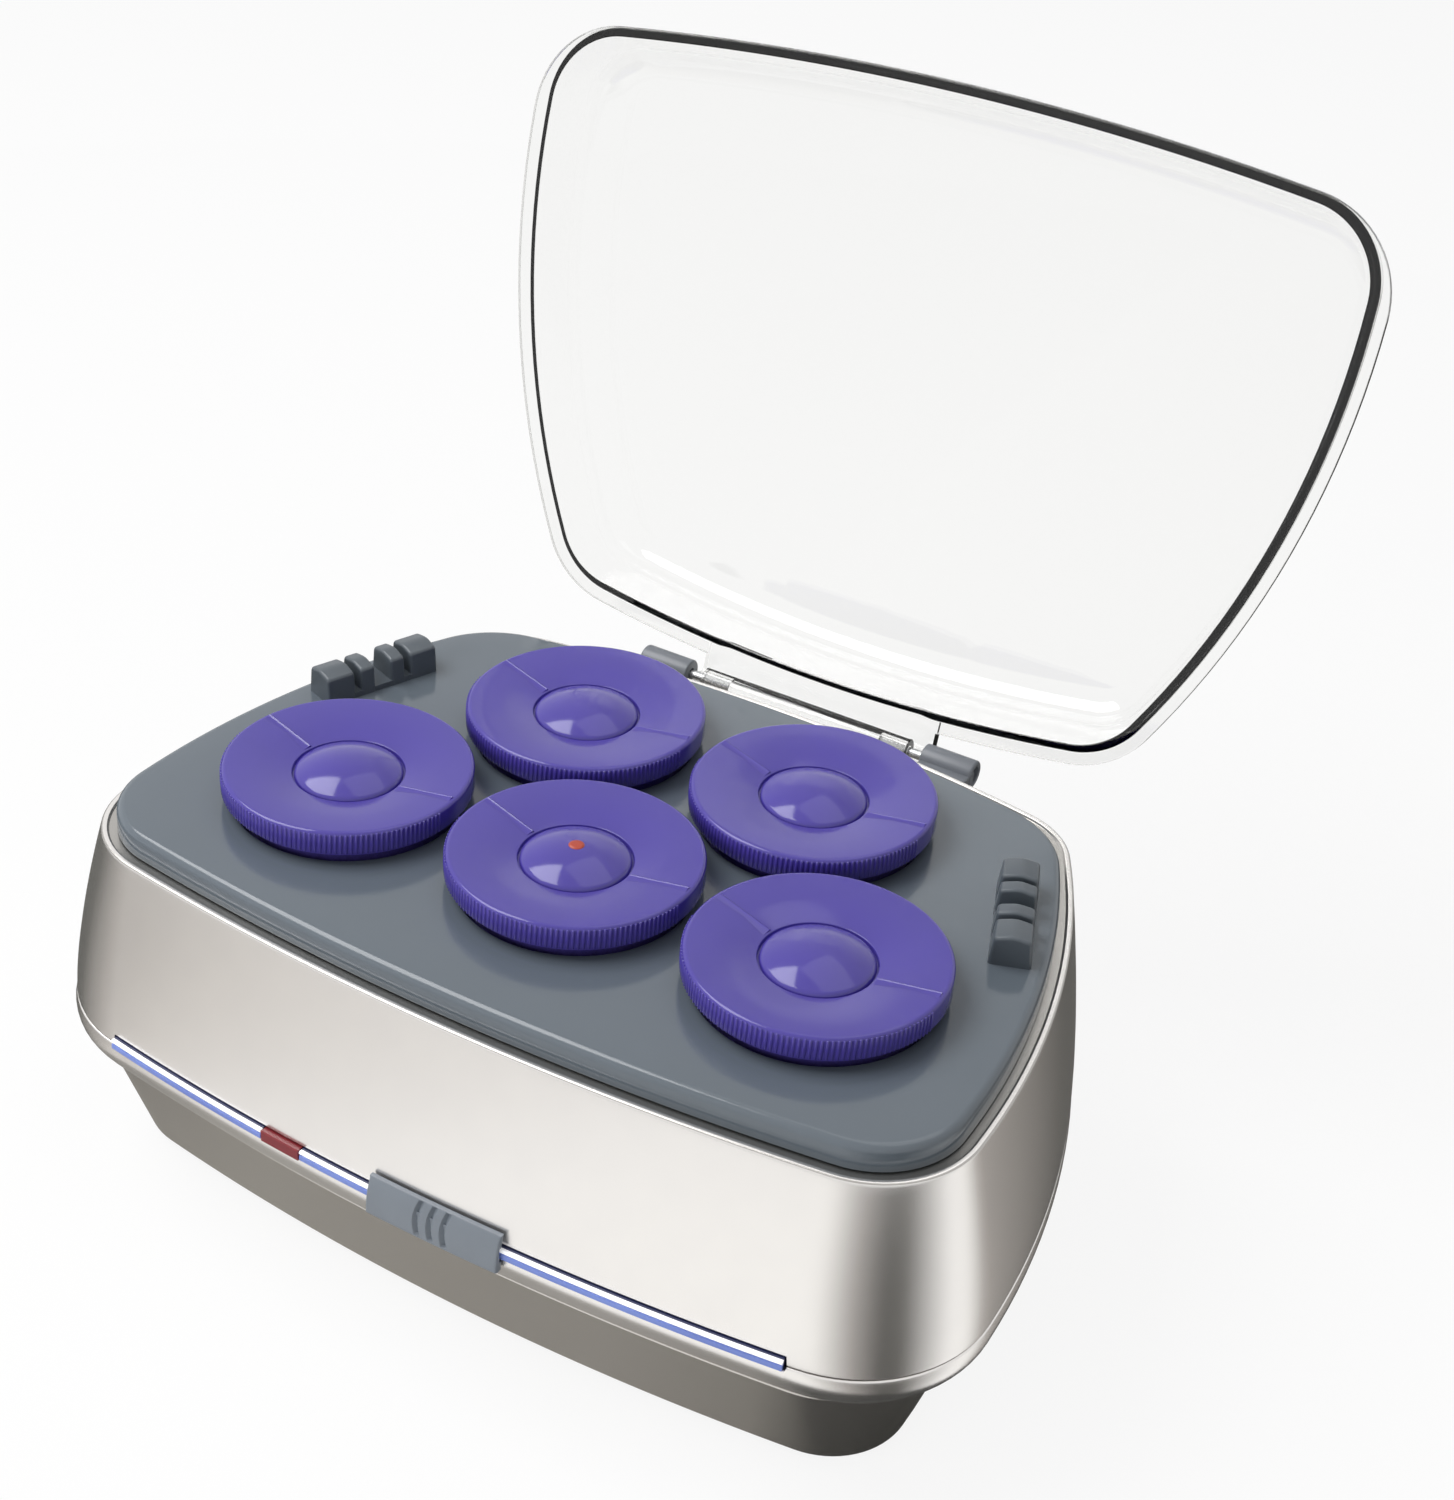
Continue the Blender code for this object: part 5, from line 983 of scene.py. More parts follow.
class HEATEDROLLERS_OT_barrels(bpy.types.Operator):
    """Makes the flocked barrels and finishes their cores in aluminium"""

    bl_idname = "heated_rollers.barrels"
    bl_label = "Barrels"

    def execute(self, context):
        flock = flocked_cloth("nylon_flock", shade(settings().rollers.purple, 0.9))
        metal = worked_metal("spun_aluminium", "C9CBCD", (0.28, 0.4))
        for roller in ROLLERS:
            low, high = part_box(roller + "_barrel")
            radius = size_of(roller + "_barrel").x / 2
            bore = radius - 1.3 * MM
            hole = 8.4 * MM
            floor = low.z + 2.0 * MM
            corners = (((radius, high.z), 0.2 * MM), ((radius, low.z), 1.2 * MM), ((hole, low.z), 0.4 * MM),
                       ((hole, floor), 0.2 * MM), ((bore, floor), 0.2 * MM), ((bore, high.z), 0.2 * MM))
            bm = bmesh.new()
            lathe(bm, rounded_line(corners, 4, loop=True), upright(roller + "_cap"), 96, loop=True)
            piece(bm, roller + "_flock", flock, roller, [roller + "_barrel"], 50.0)
            finish_node(roller + "_core", metal)
        return {"FINISHED"}


class HEATEDROLLERS_OT_ready_dot(bpy.types.Operator):
    """Makes the heat-sensing dot on the middle cap"""

    bl_idname = "heated_rollers.ready_dot"
    bl_label = "Ready dot"

    def execute(self, context):
        low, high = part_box("ready_dot")
        radius = size_of("ready_dot").x / 2
        corners = (((0.0, high.z), 0.0), ((radius * 0.7, high.z - 0.04 * MM), 1.0 * MM),
                   ((radius, high.z - 0.3 * MM), 0.3 * MM), ((radius, low.z), 0.0), ((0.0, low.z), 0.0))
        bm = bmesh.new()
        lathe(bm, rounded_line(corners), upright("ready_dot"), 48)
        # Heat-sensing ink in a moulded pill: a flat orange red, a little mottled.
        ink = surface("thermochromic_ink", ("B8472E", "A83C27"), (0.35, 0.5), 0.5 * MM, 1.5 * MM, 0.01 * MM)
        piece(bm, "ready_dot_pill", ink, DOT_ROLLER, ["ready_dot"])
        return {"FINISHED"}


# Light bar and slide switch

class HEATEDROLLERS_OT_light_bar(bpy.types.Operator):
    """Makes the blue light bar and its red lens"""

    bl_idname = "heated_rollers.light_bar"
    bl_label = "Light bar"

    def execute(self, context):
        values = settings().switch
        lens = middle_of("power_lens").x
        half = size_of("power_lens").x / 2
        ledge = BAR_HIGH - 1.05 * MM
        blue = tinted_acrylic("blue_acrylic", values.blue, shade(values.blue, 1.3))
        # The white ledge glows by painted light, standing in for the bright highlight along the bar's top.
        white = acrylic_painted_glow("acrylic_painted_glow", "F8F9FC")
        # The carrier's dark navy is painted shade: the carrier is a real recessed piece, but its colour
        # stands for the dark lines that shade and the bar's inner reflections draw in the thin gaps round the
        # face and ledge.
        navy = satin_abs("navy_carrier_painted_shade", "232A55")
        for name, low, high, recess, finish, slot in (
                ("light_bar_face", BAR_LOW + 0.22 * MM, ledge - 0.16 * MM, 0.0, blue, "blue_bar"),
                ("light_bar_ledge", ledge + 0.16 * MM, BAR_HIGH - 0.12 * MM, 0.0, white, None),
                ("light_bar_carrier", BAR_LOW, BAR_HIGH, 1.0 * MM, navy, None)):
            back = SHELL_FLARE - (2.0 * MM if recess else -0.3 * MM)
            face = BAR_FACE - recess
            corners = (((back, low), 0.0), ((face, low), 0.2 * MM), ((face, high), 0.25 * MM),
                       ((back, high), 0.0))
            section = rounded_line(corners, 4)
            bm = bmesh.new()
            front_strip(bm, section, -BAR_HALF, lens - half - FIT, 24)
            front_strip(bm, section, lens + half + FIT, BAR_HALF, 60)
            piece(bm, name, finish, "case", ["light_bar"])
        self.make_lens(lens, half)
        return {"FINISHED"}

    def make_lens(self, middle, half):
        """The lens has fine ribs along it between two plain edges."""
        back = SHELL_FLARE - 1.2 * MM
        face = BAR_FACE + 0.2 * MM
        section = [(back, BAR_LOW), (face - 0.1 * MM, BAR_LOW)]
        low, high = BAR_LOW + 0.25 * MM, BAR_HIGH - 0.3 * MM
        for i, z in enumerate(steps(low, high, 10)):
            section.append((face - (0.16 * MM if i % 2 else 0.0), z))
        section += [(face - 0.3 * MM, BAR_HIGH), (back, BAR_HIGH)]
        bm = bmesh.new()
        front_strip(bm, section, middle - half, middle + half, 6)
        bmesh.ops.recalc_face_normals(bm, faces=bm.faces)
        obj = as_object(bm, "power_lens_ribbed", 25.0)
        red = tinted_acrylic("red_acrylic", "8E3037", "A03A40")
        settle(obj, red, "case", ["power_lens"])


def knob_face(z, low, high):
    """How far the slider's face stands outside the case plan at height z."""
    rise = max(0.0, (z - low) / (high - low))
    return SHELL_FLARE + 2.9 * MM - 1.9 * MM * rise ** 2.5


class HEATEDROLLERS_OT_power_slider(bpy.types.Operator):
    """Makes the grey slider with its finger grooves"""

    bl_idname = "heated_rollers.power_slider"
    bl_label = "Power slider"

    def groove(self, x, z, middle, low, high):
        """How far the face is cut back at x and z by the curved grooves."""
        count = settings().switch.groove_count
        depth = 0.0
        for i in range(count):
            line = middle + (i - (count - 1) / 2) * 3.4 * MM - 0.4 * MM
            line += 0.9 * MM * ((z - (low + high) / 2) / ((high - low) / 2)) ** 2
            off = (x - line) / (0.75 * MM)
            if -1.0 < off < 1.0:
                depth = max(depth, (1 - abs(off)) ** 0.8 * settings().switch.groove_depth)
        return depth if z > low + 0.8 * MM else 0.0

    def execute(self, context):
        low = SEAM_Z - 3.5 * MM
        high = SEAM_Z + 5.8 * MM
        middle = 6.8 * MM
        half = 16.6 * MM
        inner = SHELL_FLARE + 0.6 * MM
        over_bar = BAR_FACE + 0.5 * MM
        face = [((knob_face(z, low, high), z), 0.0) for z in steps(low + 0.6 * MM, high - 0.6 * MM, 30)]
        corners = [((inner + 0.4 * MM, low), 0.0), ((knob_face(low, low, high), low), 0.3 * MM)] + face
        corners += [((knob_face(high, low, high), high), 0.35 * MM),
                    ((shell_flare(high) + 0.5 * MM, high), 0.0),
                    ((inner + 0.4 * MM, BAR_HIGH + 0.5 * MM), 0.0), ((over_bar, BAR_HIGH + 0.5 * MM), 0.0),
                    ((over_bar, BAR_LOW - 0.5 * MM), 0.0), ((inner + 0.4 * MM, BAR_LOW - 0.5 * MM), 0.0)]
        section = rounded_line(corners, 4)
        rings = []
        ends = (0.0, 0.05, 0.15, 0.3, 0.5)
        places = [-half + e * MM for e in ends] + steps(-half + 0.75 * MM, half - 0.75 * MM, 200)
        places += [half - e * MM for e in reversed(ends)]
        for offset in places:
            x = middle + offset
            angle = math.asin(x / FRONT_RADIUS)
            edge = max(0.0, 0.5 * MM - (half - abs(offset)))
            ease = 0.5 * MM - math.sqrt(max(0.0, (0.5 * MM) ** 2 - edge ** 2))
            ring = []
            for flare, z in section:
                outer = flare > over_bar + 0.1 * MM or z > BAR_HIGH + 0.6 * MM or z < BAR_LOW - 0.6 * MM
                drop = 0.0
                if outer and flare > inner + 0.5 * MM:
                    drop = ease + self.groove(x, z, middle, low, high)
                radius = FRONT_RADIUS + flare - drop
                y = CASE_FRONT + FRONT_RADIUS - radius * math.cos(angle)
                ring.append(Vector((radius * math.sin(angle), y, z)))
            rings.append(ring)
        bm = bmesh.new()
        skin(bm, rings, loop=False)
        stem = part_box("power_slider")[1].y
        start = CASE_FRONT - shell_flare(high) - 0.6 * MM
        block(bm, (middle, (start + stem) / 2, 45.2 * MM), (6.0 * MM, stem - start, 1.8 * MM))
        grey = satin_abs("satin_grey_abs", settings().switch.grey)
        piece(bm, "power_slider_knob", grey, "slider_body", ["power_slider"])
        return {"FINISHED"}


# Lid and hinge

def lid_arc(radius, shoulder, start, fillet):
    """(inset, z) points round the lid's upper edge, from the wall to the panel."""
    return [(shoulder + fillet - radius * math.cos(a), start + radius * math.sin(a))
            for a in steps(0.0, math.pi / 2, 14)]


def lid_rings():
    """From the inside of the panel down to the rim, round the lip and up the outside."""
    values = settings().lid
    rim = LEDGE_Z + 0.3 * MM
    lip_top = rim + 2.0 * MM
    top = LEDGE_Z + 24.0 * MM
    start = top - values.fillet
    shoulder = 4.4 * MM * (start - lip_top) / (top - lip_top)
    rings = [LID.ring(0.0, inset, z)
             for inset, z in reversed(lid_arc(values.fillet - values.wall, shoulder, start, values.fillet))]
    inner = rounded([((shoulder + values.wall, start), 0.0), ((values.wall, rim), 0.4 * MM),
                     ((-0.2 * MM, rim), 0.0)])
    rings += [LID.ring(0.0, point.x, point.y) for point in inner[1:]]
    edge = rounded([((0.3 * MM, rim), 0.0), ((0.0, rim), 0.45 * MM), ((0.0, lip_top), 0.45 * MM),
                    ((0.6 * MM, lip_top), 0.0)])
    rings += [LID_EDGE.ring(0.0, point.x, point.y) for point in edge]
    rings += [LID.ring(0.0, point.x, point.y) for point in rounded(
        [((-0.4 * MM, lip_top), 0.0), ((0.0, lip_top), 0.4 * MM), ((shoulder, start), 0.0)])]
    rings += [LID.ring(0.0, inset, z)
              for inset, z in lid_arc(values.fillet, shoulder, start, values.fillet)[1:]]
    return rings


def opened():
    """Turns the lid from closed to open about the hinge."""
    return Matrix.Translation(HINGE) @ Matrix.Rotation(-LID_OPEN, 4, "X") @ Matrix.Translation(-HINGE)


def on_hinge(x_from, x_to):
    """Puts a shape turned round Z, from 0 up, on the hinge line."""
    side = 1 if x_to > x_from else -1
    return Matrix.Translation((x_from, HINGE.y, HINGE.z)) @ Matrix.Rotation(side * math.pi / 2, 4, "Y")


class HEATEDROLLERS_OT_lid(bpy.types.Operator):
    """Makes the clear lid with its hinge tab"""

    bl_idname = "heated_rollers.lid"
    bl_label = "Lid"

    def execute(self, context):
        bm = bmesh.new()
        skin(bm, lid_rings(), loop=False)
        bmesh.ops.remove_doubles(bm, verts=bm.verts, dist=1e-7)
        bmesh.ops.recalc_face_normals(bm, faces=bm.faces)
        obj = as_object(bm, "lid_moulding")
        cut(obj, self.tab_plate(), "UNION")
        cut(obj, self.tab_barrel(), "UNION")
        cut(obj, self.tab_bores())
        obj.data.transform(opened())
        obj.data.shade_smooth()
        obj.data.set_sharp_from_angle(angle=math.radians(30.0))
        clear = clear_plastic("clear_acrylic", settings().lid.tint)
        settle(obj, clear, "lid_body", ["lid"])
        return {"FINISHED"}

    def tab_plate(self):
        rim = LEDGE_Z + 0.3 * MM
        root = CASE_BACK + 2.0 * MM - 1.1 * MM
        thick = 2.4 * MM
        top = rim + 2.0 * MM + thick / 2
        reach = HINGE.y + 3.3 * MM - thick / 2
        drop = HINGE.z + 0.3 * MM
        corners = (((root, rim), 0.0), ((root, top), 0.0), ((reach, top), 2.6 * MM),
                   ((reach, drop), 0.2 * MM), ((reach - thick, drop), 0.2 * MM),
                   ((reach - thick, rim), 0.8 * MM))
        section = rounded(corners, 6, loop=True)
        bm = bmesh.new()
        half = 33.7 * MM
        skin(bm, [[Vector((x, point.x, point.y)) for point in section] for x in (-half, half)], loop=False)
        bmesh.ops.recalc_face_normals(bm, faces=bm.faces)
        return as_object(bm, "tab_plate")

    def tab_barrel(self):
        half = 29.8 * MM
        bm = bmesh.new()
        corners = (((0.0, 0.0), 0.0), ((3.3 * MM, 0.0), 0.4 * MM), ((3.3 * MM, 2 * half), 0.4 * MM),
                   ((0.0, 2 * half), 0.0))
        lathe(bm, rounded_line(corners), on_hinge(-half, half), 48)
        bmesh.ops.recalc_face_normals(bm, faces=bm.faces)
        return as_object(bm, "tab_barrel")

    def tab_bores(self):
        bm = bmesh.new()
        for side in (-1, 1):
            profile = ((0.0, 0.0), (1.55 * MM, 0.0), (1.55 * MM, 13.0 * MM), (0.0, 13.0 * MM))
            lathe(bm, profile, on_hinge(side * 21.8 * MM, side * 40.0 * MM), 24)
        bmesh.ops.recalc_face_normals(bm, faces=bm.faces)
        return as_object(bm, "tab_bores")


class HEATEDROLLERS_OT_hinge(bpy.types.Operator):
    """Makes the two hinge knuckles and their pins"""

    bl_idname = "heated_rollers.hinge"
    bl_label = "Hinge"

    def execute(self, context):
        satin = satin_abs("satin_knuckle_abs", "7B8087")
        steel = worked_metal("zinc_plated_steel", "C4C5C6", (0.2, 0.32))
        near, length = 34.2 * MM, 14.2 * MM
        for side, label in ((-1, "left"), (1, "right")):
            bm = bmesh.new()
            corners = (((3.7 * MM, 0.0), 0.5 * MM), ((3.7 * MM, length), 0.7 * MM),
                       ((2.3 * MM, length), 0.2 * MM), ((2.3 * MM, length - 1.5 * MM), 0.1 * MM),
                       ((1.55 * MM, length - 1.5 * MM), 0.0), ((1.55 * MM, 0.0), 0.0))
            lathe(bm, rounded_line(corners, loop=True), on_hinge(side * near, side * (near + length)), 48,
                  loop=True)
            bmesh.ops.recalc_face_normals(bm, faces=bm.faces)
            turn = as_object(bm, "turn")
            arm = bmesh.new()
            middle = side * (near + length / 2)
            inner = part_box("hinge_knuckle_" + label)[0].y
            block(arm, (middle, (inner + HINGE.y) / 2, HINGE.z - 0.8 * MM),
                  (length - 0.3 * MM, HINGE.y - inner, 4.0 * MM))
            block(arm, (middle, inner + 1.0 * MM, HINGE.z - 3.8 * MM), (length, 2.0 * MM, 10.0 * MM))
            shape = as_object(arm, "arm")
            soften(shape, 0.5 * MM)
            whole = bmesh.new()
            for part in (turn, shape):
                whole.from_mesh(part.data)
                bpy.data.objects.remove(part)
            name = "hinge_knuckle_" + label
            piece(whole, name + "_block", satin, "case", [name], 40.0)
            pin = bmesh.new()
            start, end = 22.1 * MM, near + length - 2.0 * MM
            corners = (((0.0, 0.0), 0.0), ((1.25 * MM, 0.0), 0.3 * MM),
                       ((1.25 * MM, end - start), 0.3 * MM), ((0.0, end - start), 0.0))
            lathe(pin, rounded_line(corners), on_hinge(side * start, side * end), 32)
            name = "hinge_pin_" + label
            piece(pin, name + "_rod", steel, "case", [name], 40.0)
        return {"FINISHED"}


# Heater, fasteners and fittings

class HEATEDROLLERS_OT_heater(bpy.types.Operator):
    """Makes the heating posts and finishes the plate, element, thermostat and fuse"""

    bl_idname = "heated_rollers.heater"
    bl_label = "Heater"

    def execute(self, context):
        spun = worked_metal("turned_aluminium", "C6C8CA", (0.24, 0.36))
        for number, roller in enumerate(ROLLERS, start=1):
            node = "heating_post_%d" % number
            low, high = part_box(node)
            shoulder = low.z + 3.4 * MM
            corners = (((0.0, high.z), 0.0), ((POST_RADIUS - 2.0 * MM, high.z), 1.0 * MM),
                       ((POST_RADIUS, high.z - 2.0 * MM), 1.0 * MM), ((POST_RADIUS, shoulder), 0.8 * MM),
                       ((12.0 * MM, shoulder), 0.4 * MM), ((12.0 * MM, low.z), 0.0), ((0.0, low.z), 0.0))
            bm = bmesh.new()
            lathe(bm, rounded_line(corners), upright(node), 64)
            piece(bm, node + "_turned", spun, "case", [node])
        finish_node("heater_plate", worked_metal("rolled_aluminium", "BFC1C3", (0.35, 0.5), 1.2 * MM))
        finish_node("heating_element", fired_ceramic("pressed_ceramic", "DAD7CE"))
        finish_node("thermal_fuse", fired_ceramic("glazed_ceramic", "E4E2DA"))
        finish_node("thermostat", worked_metal("plated_steel_can", "B9BABB", (0.22, 0.34)))
        return {"FINISHED"}


class HEATEDROLLERS_OT_screws(bpy.types.Operator):
    """Makes the case screws and the plate screws"""

    bl_idname = "heated_rollers.screws"
    bl_label = "Screws"

    def execute(self, context):
        tree = screw_tree()
        zinc = worked_metal("zinc_plated_screw_steel", "BEBFC0", (0.22, 0.35))
        for name, count, turn in (("case_screw", 4, math.pi), ("plate_screw", 3, 0.0)):
            nodes = ["%s_%d" % (name, number) for number in range(1, count + 1)]
            low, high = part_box(nodes[0])
            head = 2.2 * MM
            level = low.z + head if turn else high.z - head
            places = [Vector((middle_of(node).x, middle_of(node).y, level)) for node in nodes]
            mesh = bpy.data.meshes.new(name + "s")
            mesh.from_pydata(places, [], [])
            host = bpy.data.objects.new(name + "s", mesh)
            context.scene.collection.objects.link(host)
            run_tree(host, tree, {"Length": high.z - low.z - head, "Turn": turn, "Material": zinc})
            settle(host, zinc, "case", nodes)
            host.data.shade_smooth()
            host.data.set_sharp_from_angle(angle=math.radians(30.0))
        return {"FINISHED"}


class HEATEDROLLERS_OT_feet(bpy.types.Operator):
    """Makes the four rubber feet"""

    bl_idname = "heated_rollers.feet"
    bl_label = "Feet"

    def execute(self, context):
        rubber = moulded_rubber("moulded_rubber", "262627")
        for number in range(1, 5):
            node = "rubber_foot_%d" % number
            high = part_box(node)[1].z
            under = BASE_Z - 0.3 * MM
            corners = (((0.0, high), 0.0), ((3.0 * MM, high), 0.2 * MM), ((3.0 * MM, under), 0.0),
                       ((8.0 * MM, under), 0.3 * MM), ((7.6 * MM, 0.0), 0.3 * MM), ((0.0, 0.0), 0.0))
            bm = bmesh.new()
            lathe(bm, rounded_line(corners), upright(node), 48)
            piece(bm, node + "_pad", rubber, "case", [node])
        return {"FINISHED"}


class HEATEDROLLERS_OT_fittings(bpy.types.Operator):
    """Finishes the mains gland, the switch, lamp, terminal block and leads"""

    bl_idname = "heated_rollers.fittings"
    bl_label = "Fittings"

    def execute(self, context):
        black = nylon("black_nylon", "2A2A2C")
        finish_node("switch_body", black)
        finish_node("cord_gland", black)
        white = nylon("white_nylon", "DCDAD3")
        finish_node("terminal_block", white)
        finish_node("lamp_holder", white)
        finish_node("indicator_lamp", tinted_acrylic("red_lamp_lens", "9A2A2E", "B23A3C"))
        sleeve = nylon("silicone_sleeve", "9C4638")
        for node in ("lead_heater", "lead_lamp", "lead_mains", "lead_switch"):
            finish_node(node, sleeve)
        return {"FINISHED"}


# Stage

class HEATEDROLLERS_OT_stage(bpy.types.Operator):
    """Sets the floor, the camera and the studio light"""

    bl_idname = "heated_rollers.stage"
    bl_label = "Stage"

    def execute(self, context):
        context.scene.view_settings.view_transform = "Standard"
        self.make_floor()
        self.make_world(context.scene)
        values = settings().stage
        self.add_softbox("key_softbox", (-0.72, -0.3, 1.25), LIGHT_TARGET, (1.0, 0.8), values.key_power)
        self.add_softbox("top_softbox", (0.15, 0.35, 1.3), (0.0, 0.0, 0.08), (1.0, 0.8), values.top_power)
        front = self.add_softbox("front_softbox", (-0.35, -1.2, 0.45), LIGHT_TARGET, (1.0, 0.5),
                                 values.front_power)
        front.visible_glossy = False
        self.add_flags()
        self.add_camera(context.scene)
        return {"FINISHED"}

    def white_mix(self, tree, shader, straight, mirrored):
        """Mixes a shader with plain white where the camera, glass or metal sees it."""
        path = add_node(tree, "ShaderNodeLightPath").outputs
        seen = add_node(tree, "ShaderNodeMath", {"operation": "MAXIMUM"},
                        {0: path["Is Camera Ray"], 1: path["Is Transmission Ray"]})
        part = add_node(tree, "ShaderNodeMath", {"operation": "MULTIPLY"},
                        {0: path["Is Glossy Ray"], 1: mirrored})
        share = add_node(tree, "ShaderNodeMath", {"operation": "MULTIPLY"}, {0: seen.outputs[0], 1: straight})
        factor = add_node(tree, "ShaderNodeMath", {"operation": "MAXIMUM"},
                          {0: part.outputs[0], 1: share.outputs[0]})
        white = add_node(tree, "ShaderNodeEmission", {}, {"Color": (1.0, 1.0, 1.0, 1.0), "Strength": 1.0})
        return add_node(tree, "ShaderNodeMixShader", {}, {
            0: factor.outputs[0], 1: shader, 2: white.outputs[0]}).outputs[0]

    def make_floor(self):
        bm = bmesh.new()
        bmesh.ops.create_grid(bm, x_segments=1, y_segments=1, size=12.0)
        floor = as_object(bm, "studio_floor")
        material = bpy.data.materials.new("white_paper_sweep")
        material.use_nodes = True
        tree = material.node_tree
        shader = tree.nodes["Principled BSDF"]
        shader.inputs["Base Color"].default_value = linear(settings().stage.floor)
        shader.inputs["Roughness"].default_value = 0.9
        output = tree.nodes["Material Output"]
        tree.links.new(self.white_mix(tree, shader.outputs[0], 0.88, 0.5), output.inputs["Surface"])
        floor.data.materials.append(material)

    def make_world(self, scene):
        world = bpy.data.worlds.new("studio")
        world.use_nodes = True
        scene.world = world
        tree = world.node_tree
        background = tree.nodes["Background"]
        background.inputs["Color"].default_value = (1.0, 1.0, 1.0, 1.0)
        background.inputs["Strength"].default_value = settings().stage.fill
        output = tree.nodes["World Output"]
        tree.links.new(self.white_mix(tree, background.outputs[0], 1.0, 1.0), output.inputs["Surface"])

    def add_softbox(self, name, place, target, size, power):
        lamp = bpy.data.lights.new(name, "AREA")
        lamp.shape = "RECTANGLE"
        lamp.size, lamp.size_y = size
        lamp.energy = power
        obj = bpy.data.objects.new(name, lamp)
        obj.location = place
        aim = Vector(target) - Vector(place)
        obj.rotation_euler = aim.to_track_quat("-Z", "Y").to_euler()
        obj.visible_transmission = False
        bpy.context.scene.collection.objects.link(obj)
        return obj

    def add_flags(self):
        """Graded cards on the floor that only reflections see, to model the curves of the paint."""
        # The under card is painted shade: a dark skirt round the base that stands for the floor's shadow next
        # to the case, as the base and band reflect it.
        skirt = BASE.ring(35.0 * MM, 0.0, 1.4 * MM)
        self.add_flag("flag_under", skirt, False, (
            (-120, "74726E"), (-60, "86847F"), (40, "807E7A"), (75, "716F6B"), (92, "2C2C2A"),
            (130, "1C1C1A")))
        centre = Vector((0.0, CARD_MIDDLE_Y, 0.7 * MM))
        disc = [centre + Vector((math.cos(angle), math.sin(angle), 0.0)) * CARD_REACH
                for angle in steps(0.0, math.tau, 72)]
        self.add_flag("flag_round", disc[:-1], True, (
            (-210, "444440"), (-117, "40403C"), (-80, "94918D"), (-60, "BEBBB7"), (-10, "E2E2E1"),
            (30, "E8E8E6"), (57, "8C8986"), (76, "393835"), (92, "484743"), (130, "E6E6E5"),
            (145, "E6E6E4"), (162, "96928E"), (182, "76736F"), (203, "3E3D3A")))

    def add_flag(self, name, outline, turned, stops):
        """A card whose brightness follows the angle round its middle, or X; stops are in degrees or mm."""
        bm = bmesh.new()
        bm.faces.new([bm.verts.new(point) for point in outline])
        card = as_object(bm, name)
        material = bpy.data.materials.new(name)
        material.use_nodes = True
        tree = material.node_tree
        place = add_node(tree, "ShaderNodeTexCoord").outputs["Object"]
        parts = add_node(tree, "ShaderNodeSeparateXYZ", {}, {0: place}).outputs
        value, low, high = parts["X"], -200 * MM, 200 * MM
        unit = MM
        if turned:
            # Turned round the case's two front corners, with a slow drift of 0.3 degrees a mm between them
            inner = add_node(tree, "ShaderNodeClamp", {}, {
                "Value": value, "Min": -CARD_CORNER_X, "Max": CARD_CORNER_X})
            across = add_node(tree, "ShaderNodeMath", {"operation": "SUBTRACT"},
                              {0: value, 1: inner.outputs[0]})
            ahead = add_node(tree, "ShaderNodeMath", {"operation": "SUBTRACT"},
                             {0: CARD_MIDDLE_Y, 1: parts["Y"]})
            angle = add_node(tree, "ShaderNodeMath", {"operation": "ARCTAN2"},
                             {0: across.outputs[0], 1: ahead.outputs[0]})
            value = add_node(tree, "ShaderNodeMath", {"operation": "MULTIPLY_ADD"}, {
                0: inner.outputs[0], 1: math.radians(300.0), 2: angle.outputs[0]}).outputs[0]
            low, high, unit = math.radians(-210.0), math.radians(210.0), math.radians(1.0)
        spread = add_node(tree, "ShaderNodeMapRange", {}, {"Value": value, "From Min": low, "From Max": high})
        ramp = add_node(tree, "ShaderNodeValToRGB", {}, {"Fac": spread.outputs[0]}).color_ramp
        for _ in stops[2:]:
            ramp.elements.new(0.5)
        for element, (place, grey) in zip(ramp.elements, stops):
            element.position = (place * unit - low) / (high - low)
            element.color = linear(grey)
        glow = add_node(tree, "ShaderNodeEmission", {}, {
            "Color": tree.nodes[-1].outputs[0], "Strength": CARD_GLOW})
        tree.links.new(glow.outputs[0], tree.nodes["Material Output"].inputs["Surface"])
        card.data.materials.append(material)
        card.visible_camera = False
        card.visible_diffuse = False
        card.visible_transmission = False
        card.visible_shadow = False

    def add_camera(self, scene):
        camera = bpy.data.cameras.new("camera")
        camera.sensor_width = 36.0
        camera.lens = CAMERA_LENS
        camera.clip_start = 0.02
        obj = bpy.data.objects.new("camera", camera)
        turn = Matrix.Rotation(math.radians(CAMERA_TURN), 4, "Z")
        tilt = Matrix.Rotation(math.radians(CAMERA_TILT), 4, "X")
        roll = Matrix.Rotation(math.radians(CAMERA_ROLL), 4, "Z")
        obj.matrix_world = Matrix.Translation(CAMERA_PLACE) @ turn @ tilt @ roll
        scene.collection.objects.link(obj)
        scene.camera = obj


# Panel and start

OPERATORS = (
    HEATEDROLLERS_OT_upper_shell, HEATEDROLLERS_OT_lower_band, HEATEDROLLERS_OT_base,
    HEATEDROLLERS_OT_roller_tray, HEATEDROLLERS_OT_clip_racks, HEATEDROLLERS_OT_caps,
    HEATEDROLLERS_OT_barrels, HEATEDROLLERS_OT_ready_dot, HEATEDROLLERS_OT_light_bar,
    HEATEDROLLERS_OT_power_slider, HEATEDROLLERS_OT_lid, HEATEDROLLERS_OT_hinge,
    HEATEDROLLERS_OT_heater, HEATEDROLLERS_OT_screws, HEATEDROLLERS_OT_feet,
    HEATEDROLLERS_OT_fittings, HEATEDROLLERS_OT_stage,
)


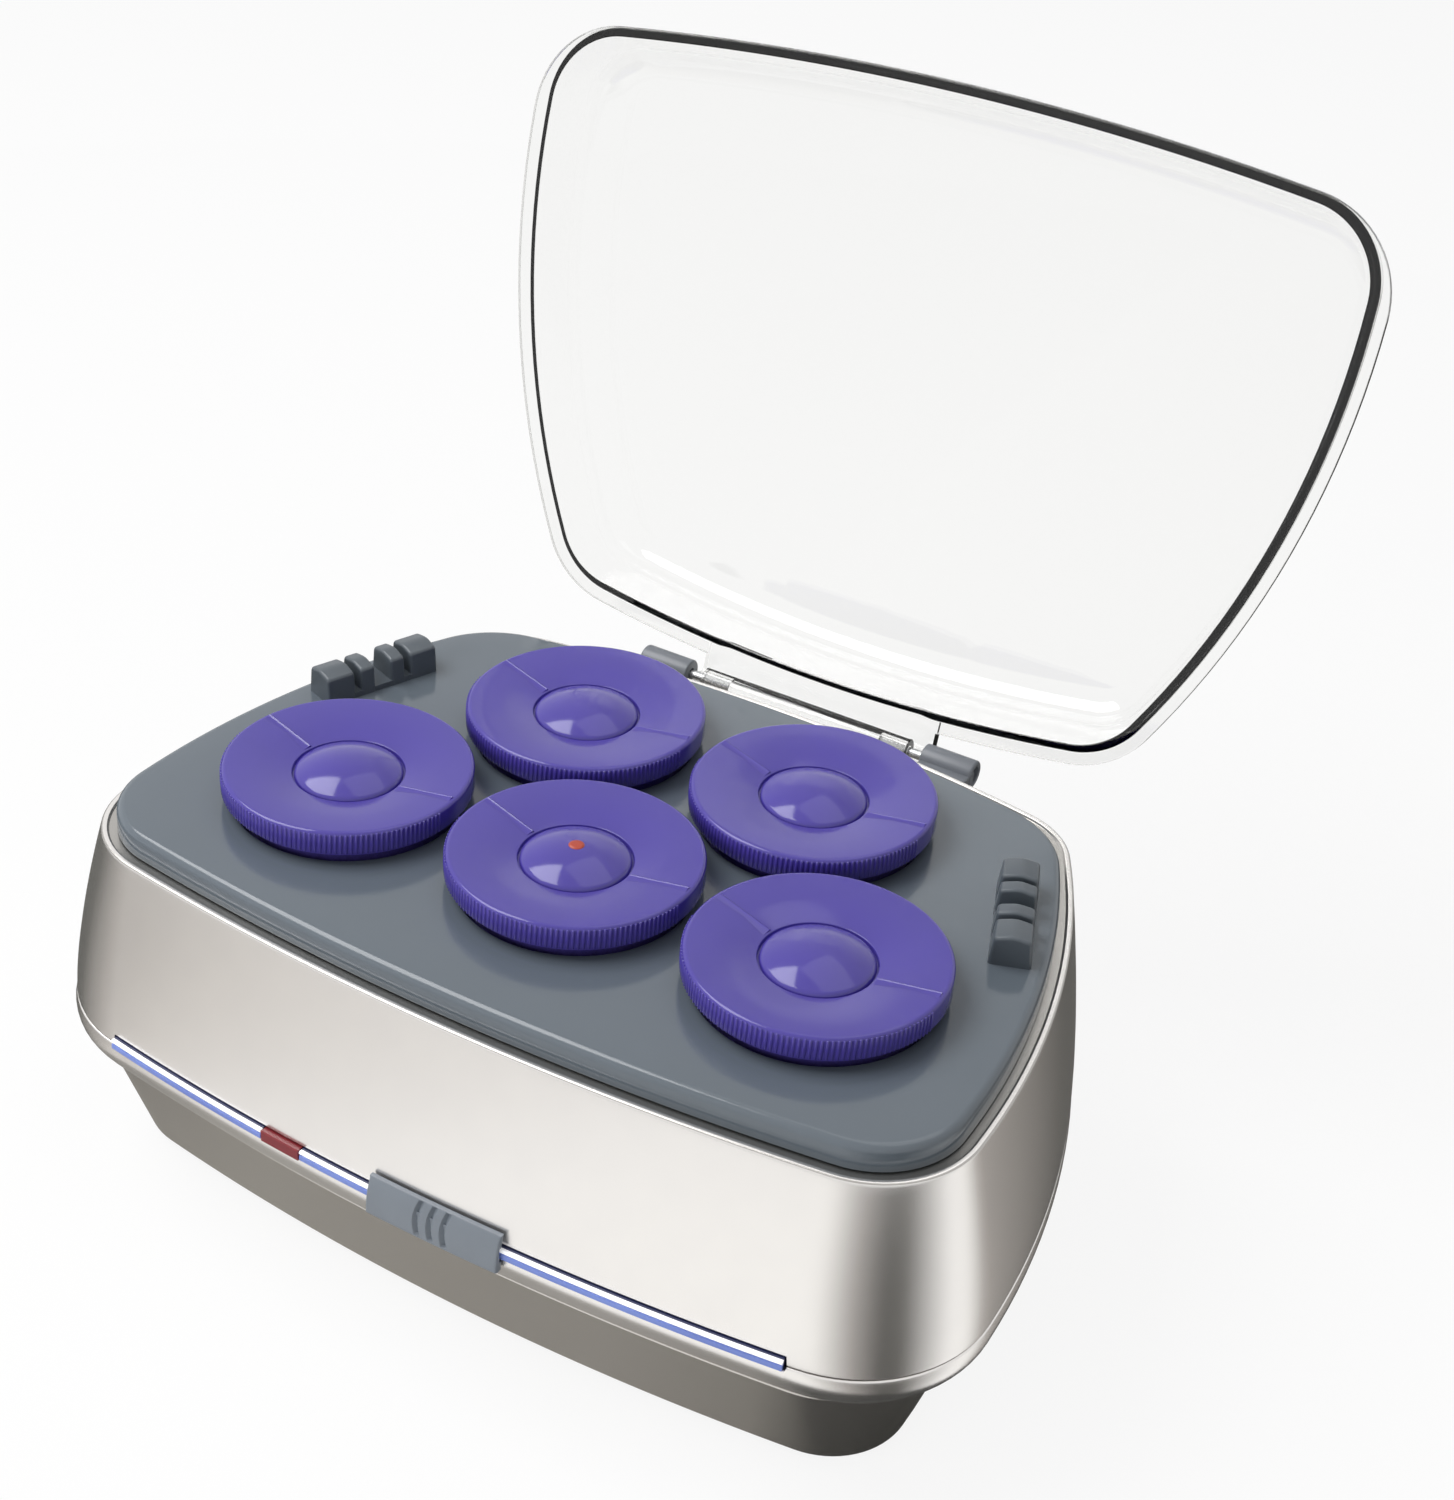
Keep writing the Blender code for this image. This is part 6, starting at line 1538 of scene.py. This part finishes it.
class HEATEDROLLERS_PT_panel(bpy.types.Panel):
    """Lists the settings and the pieces"""

    bl_idname = "HEATEDROLLERS_PT_panel"
    bl_label = "Heated roller set"
    bl_space_type = "VIEW_3D"
    bl_region_type = "UI"
    bl_category = "Rollers"

    def draw(self, context):
        values = context.scene.heated_rollers
        for group in ("case", "rollers", "lid", "switch", "stage"):
            box = self.layout.box()
            box.label(text=group.capitalize())
            members = getattr(values, group)
            for name in members.bl_rna.properties.keys():
                if name not in ("rna_type", "name"):
                    box.prop(members, name)
        for operator in OPERATORS:
            self.layout.operator(operator.bl_idname)


CLASSES = (CaseSettings, RollerSettings, LidSettings, SwitchSettings, StageSettings, RollerSetSettings,
           *OPERATORS, HEATEDROLLERS_PT_panel)


def register():
    for cls in CLASSES:
        bpy.utils.register_class(cls)
    bpy.types.Scene.heated_rollers = bpy.props.PointerProperty(type=RollerSetSettings)


def unregister():
    del bpy.types.Scene.heated_rollers
    for cls in reversed(CLASSES):
        bpy.utils.unregister_class(cls)


def main():
    register()
    for operator in OPERATORS:
        group, name = operator.bl_idname.split(".")
        getattr(getattr(bpy.ops, group), name)()


if __name__ == "__main__":
    main()
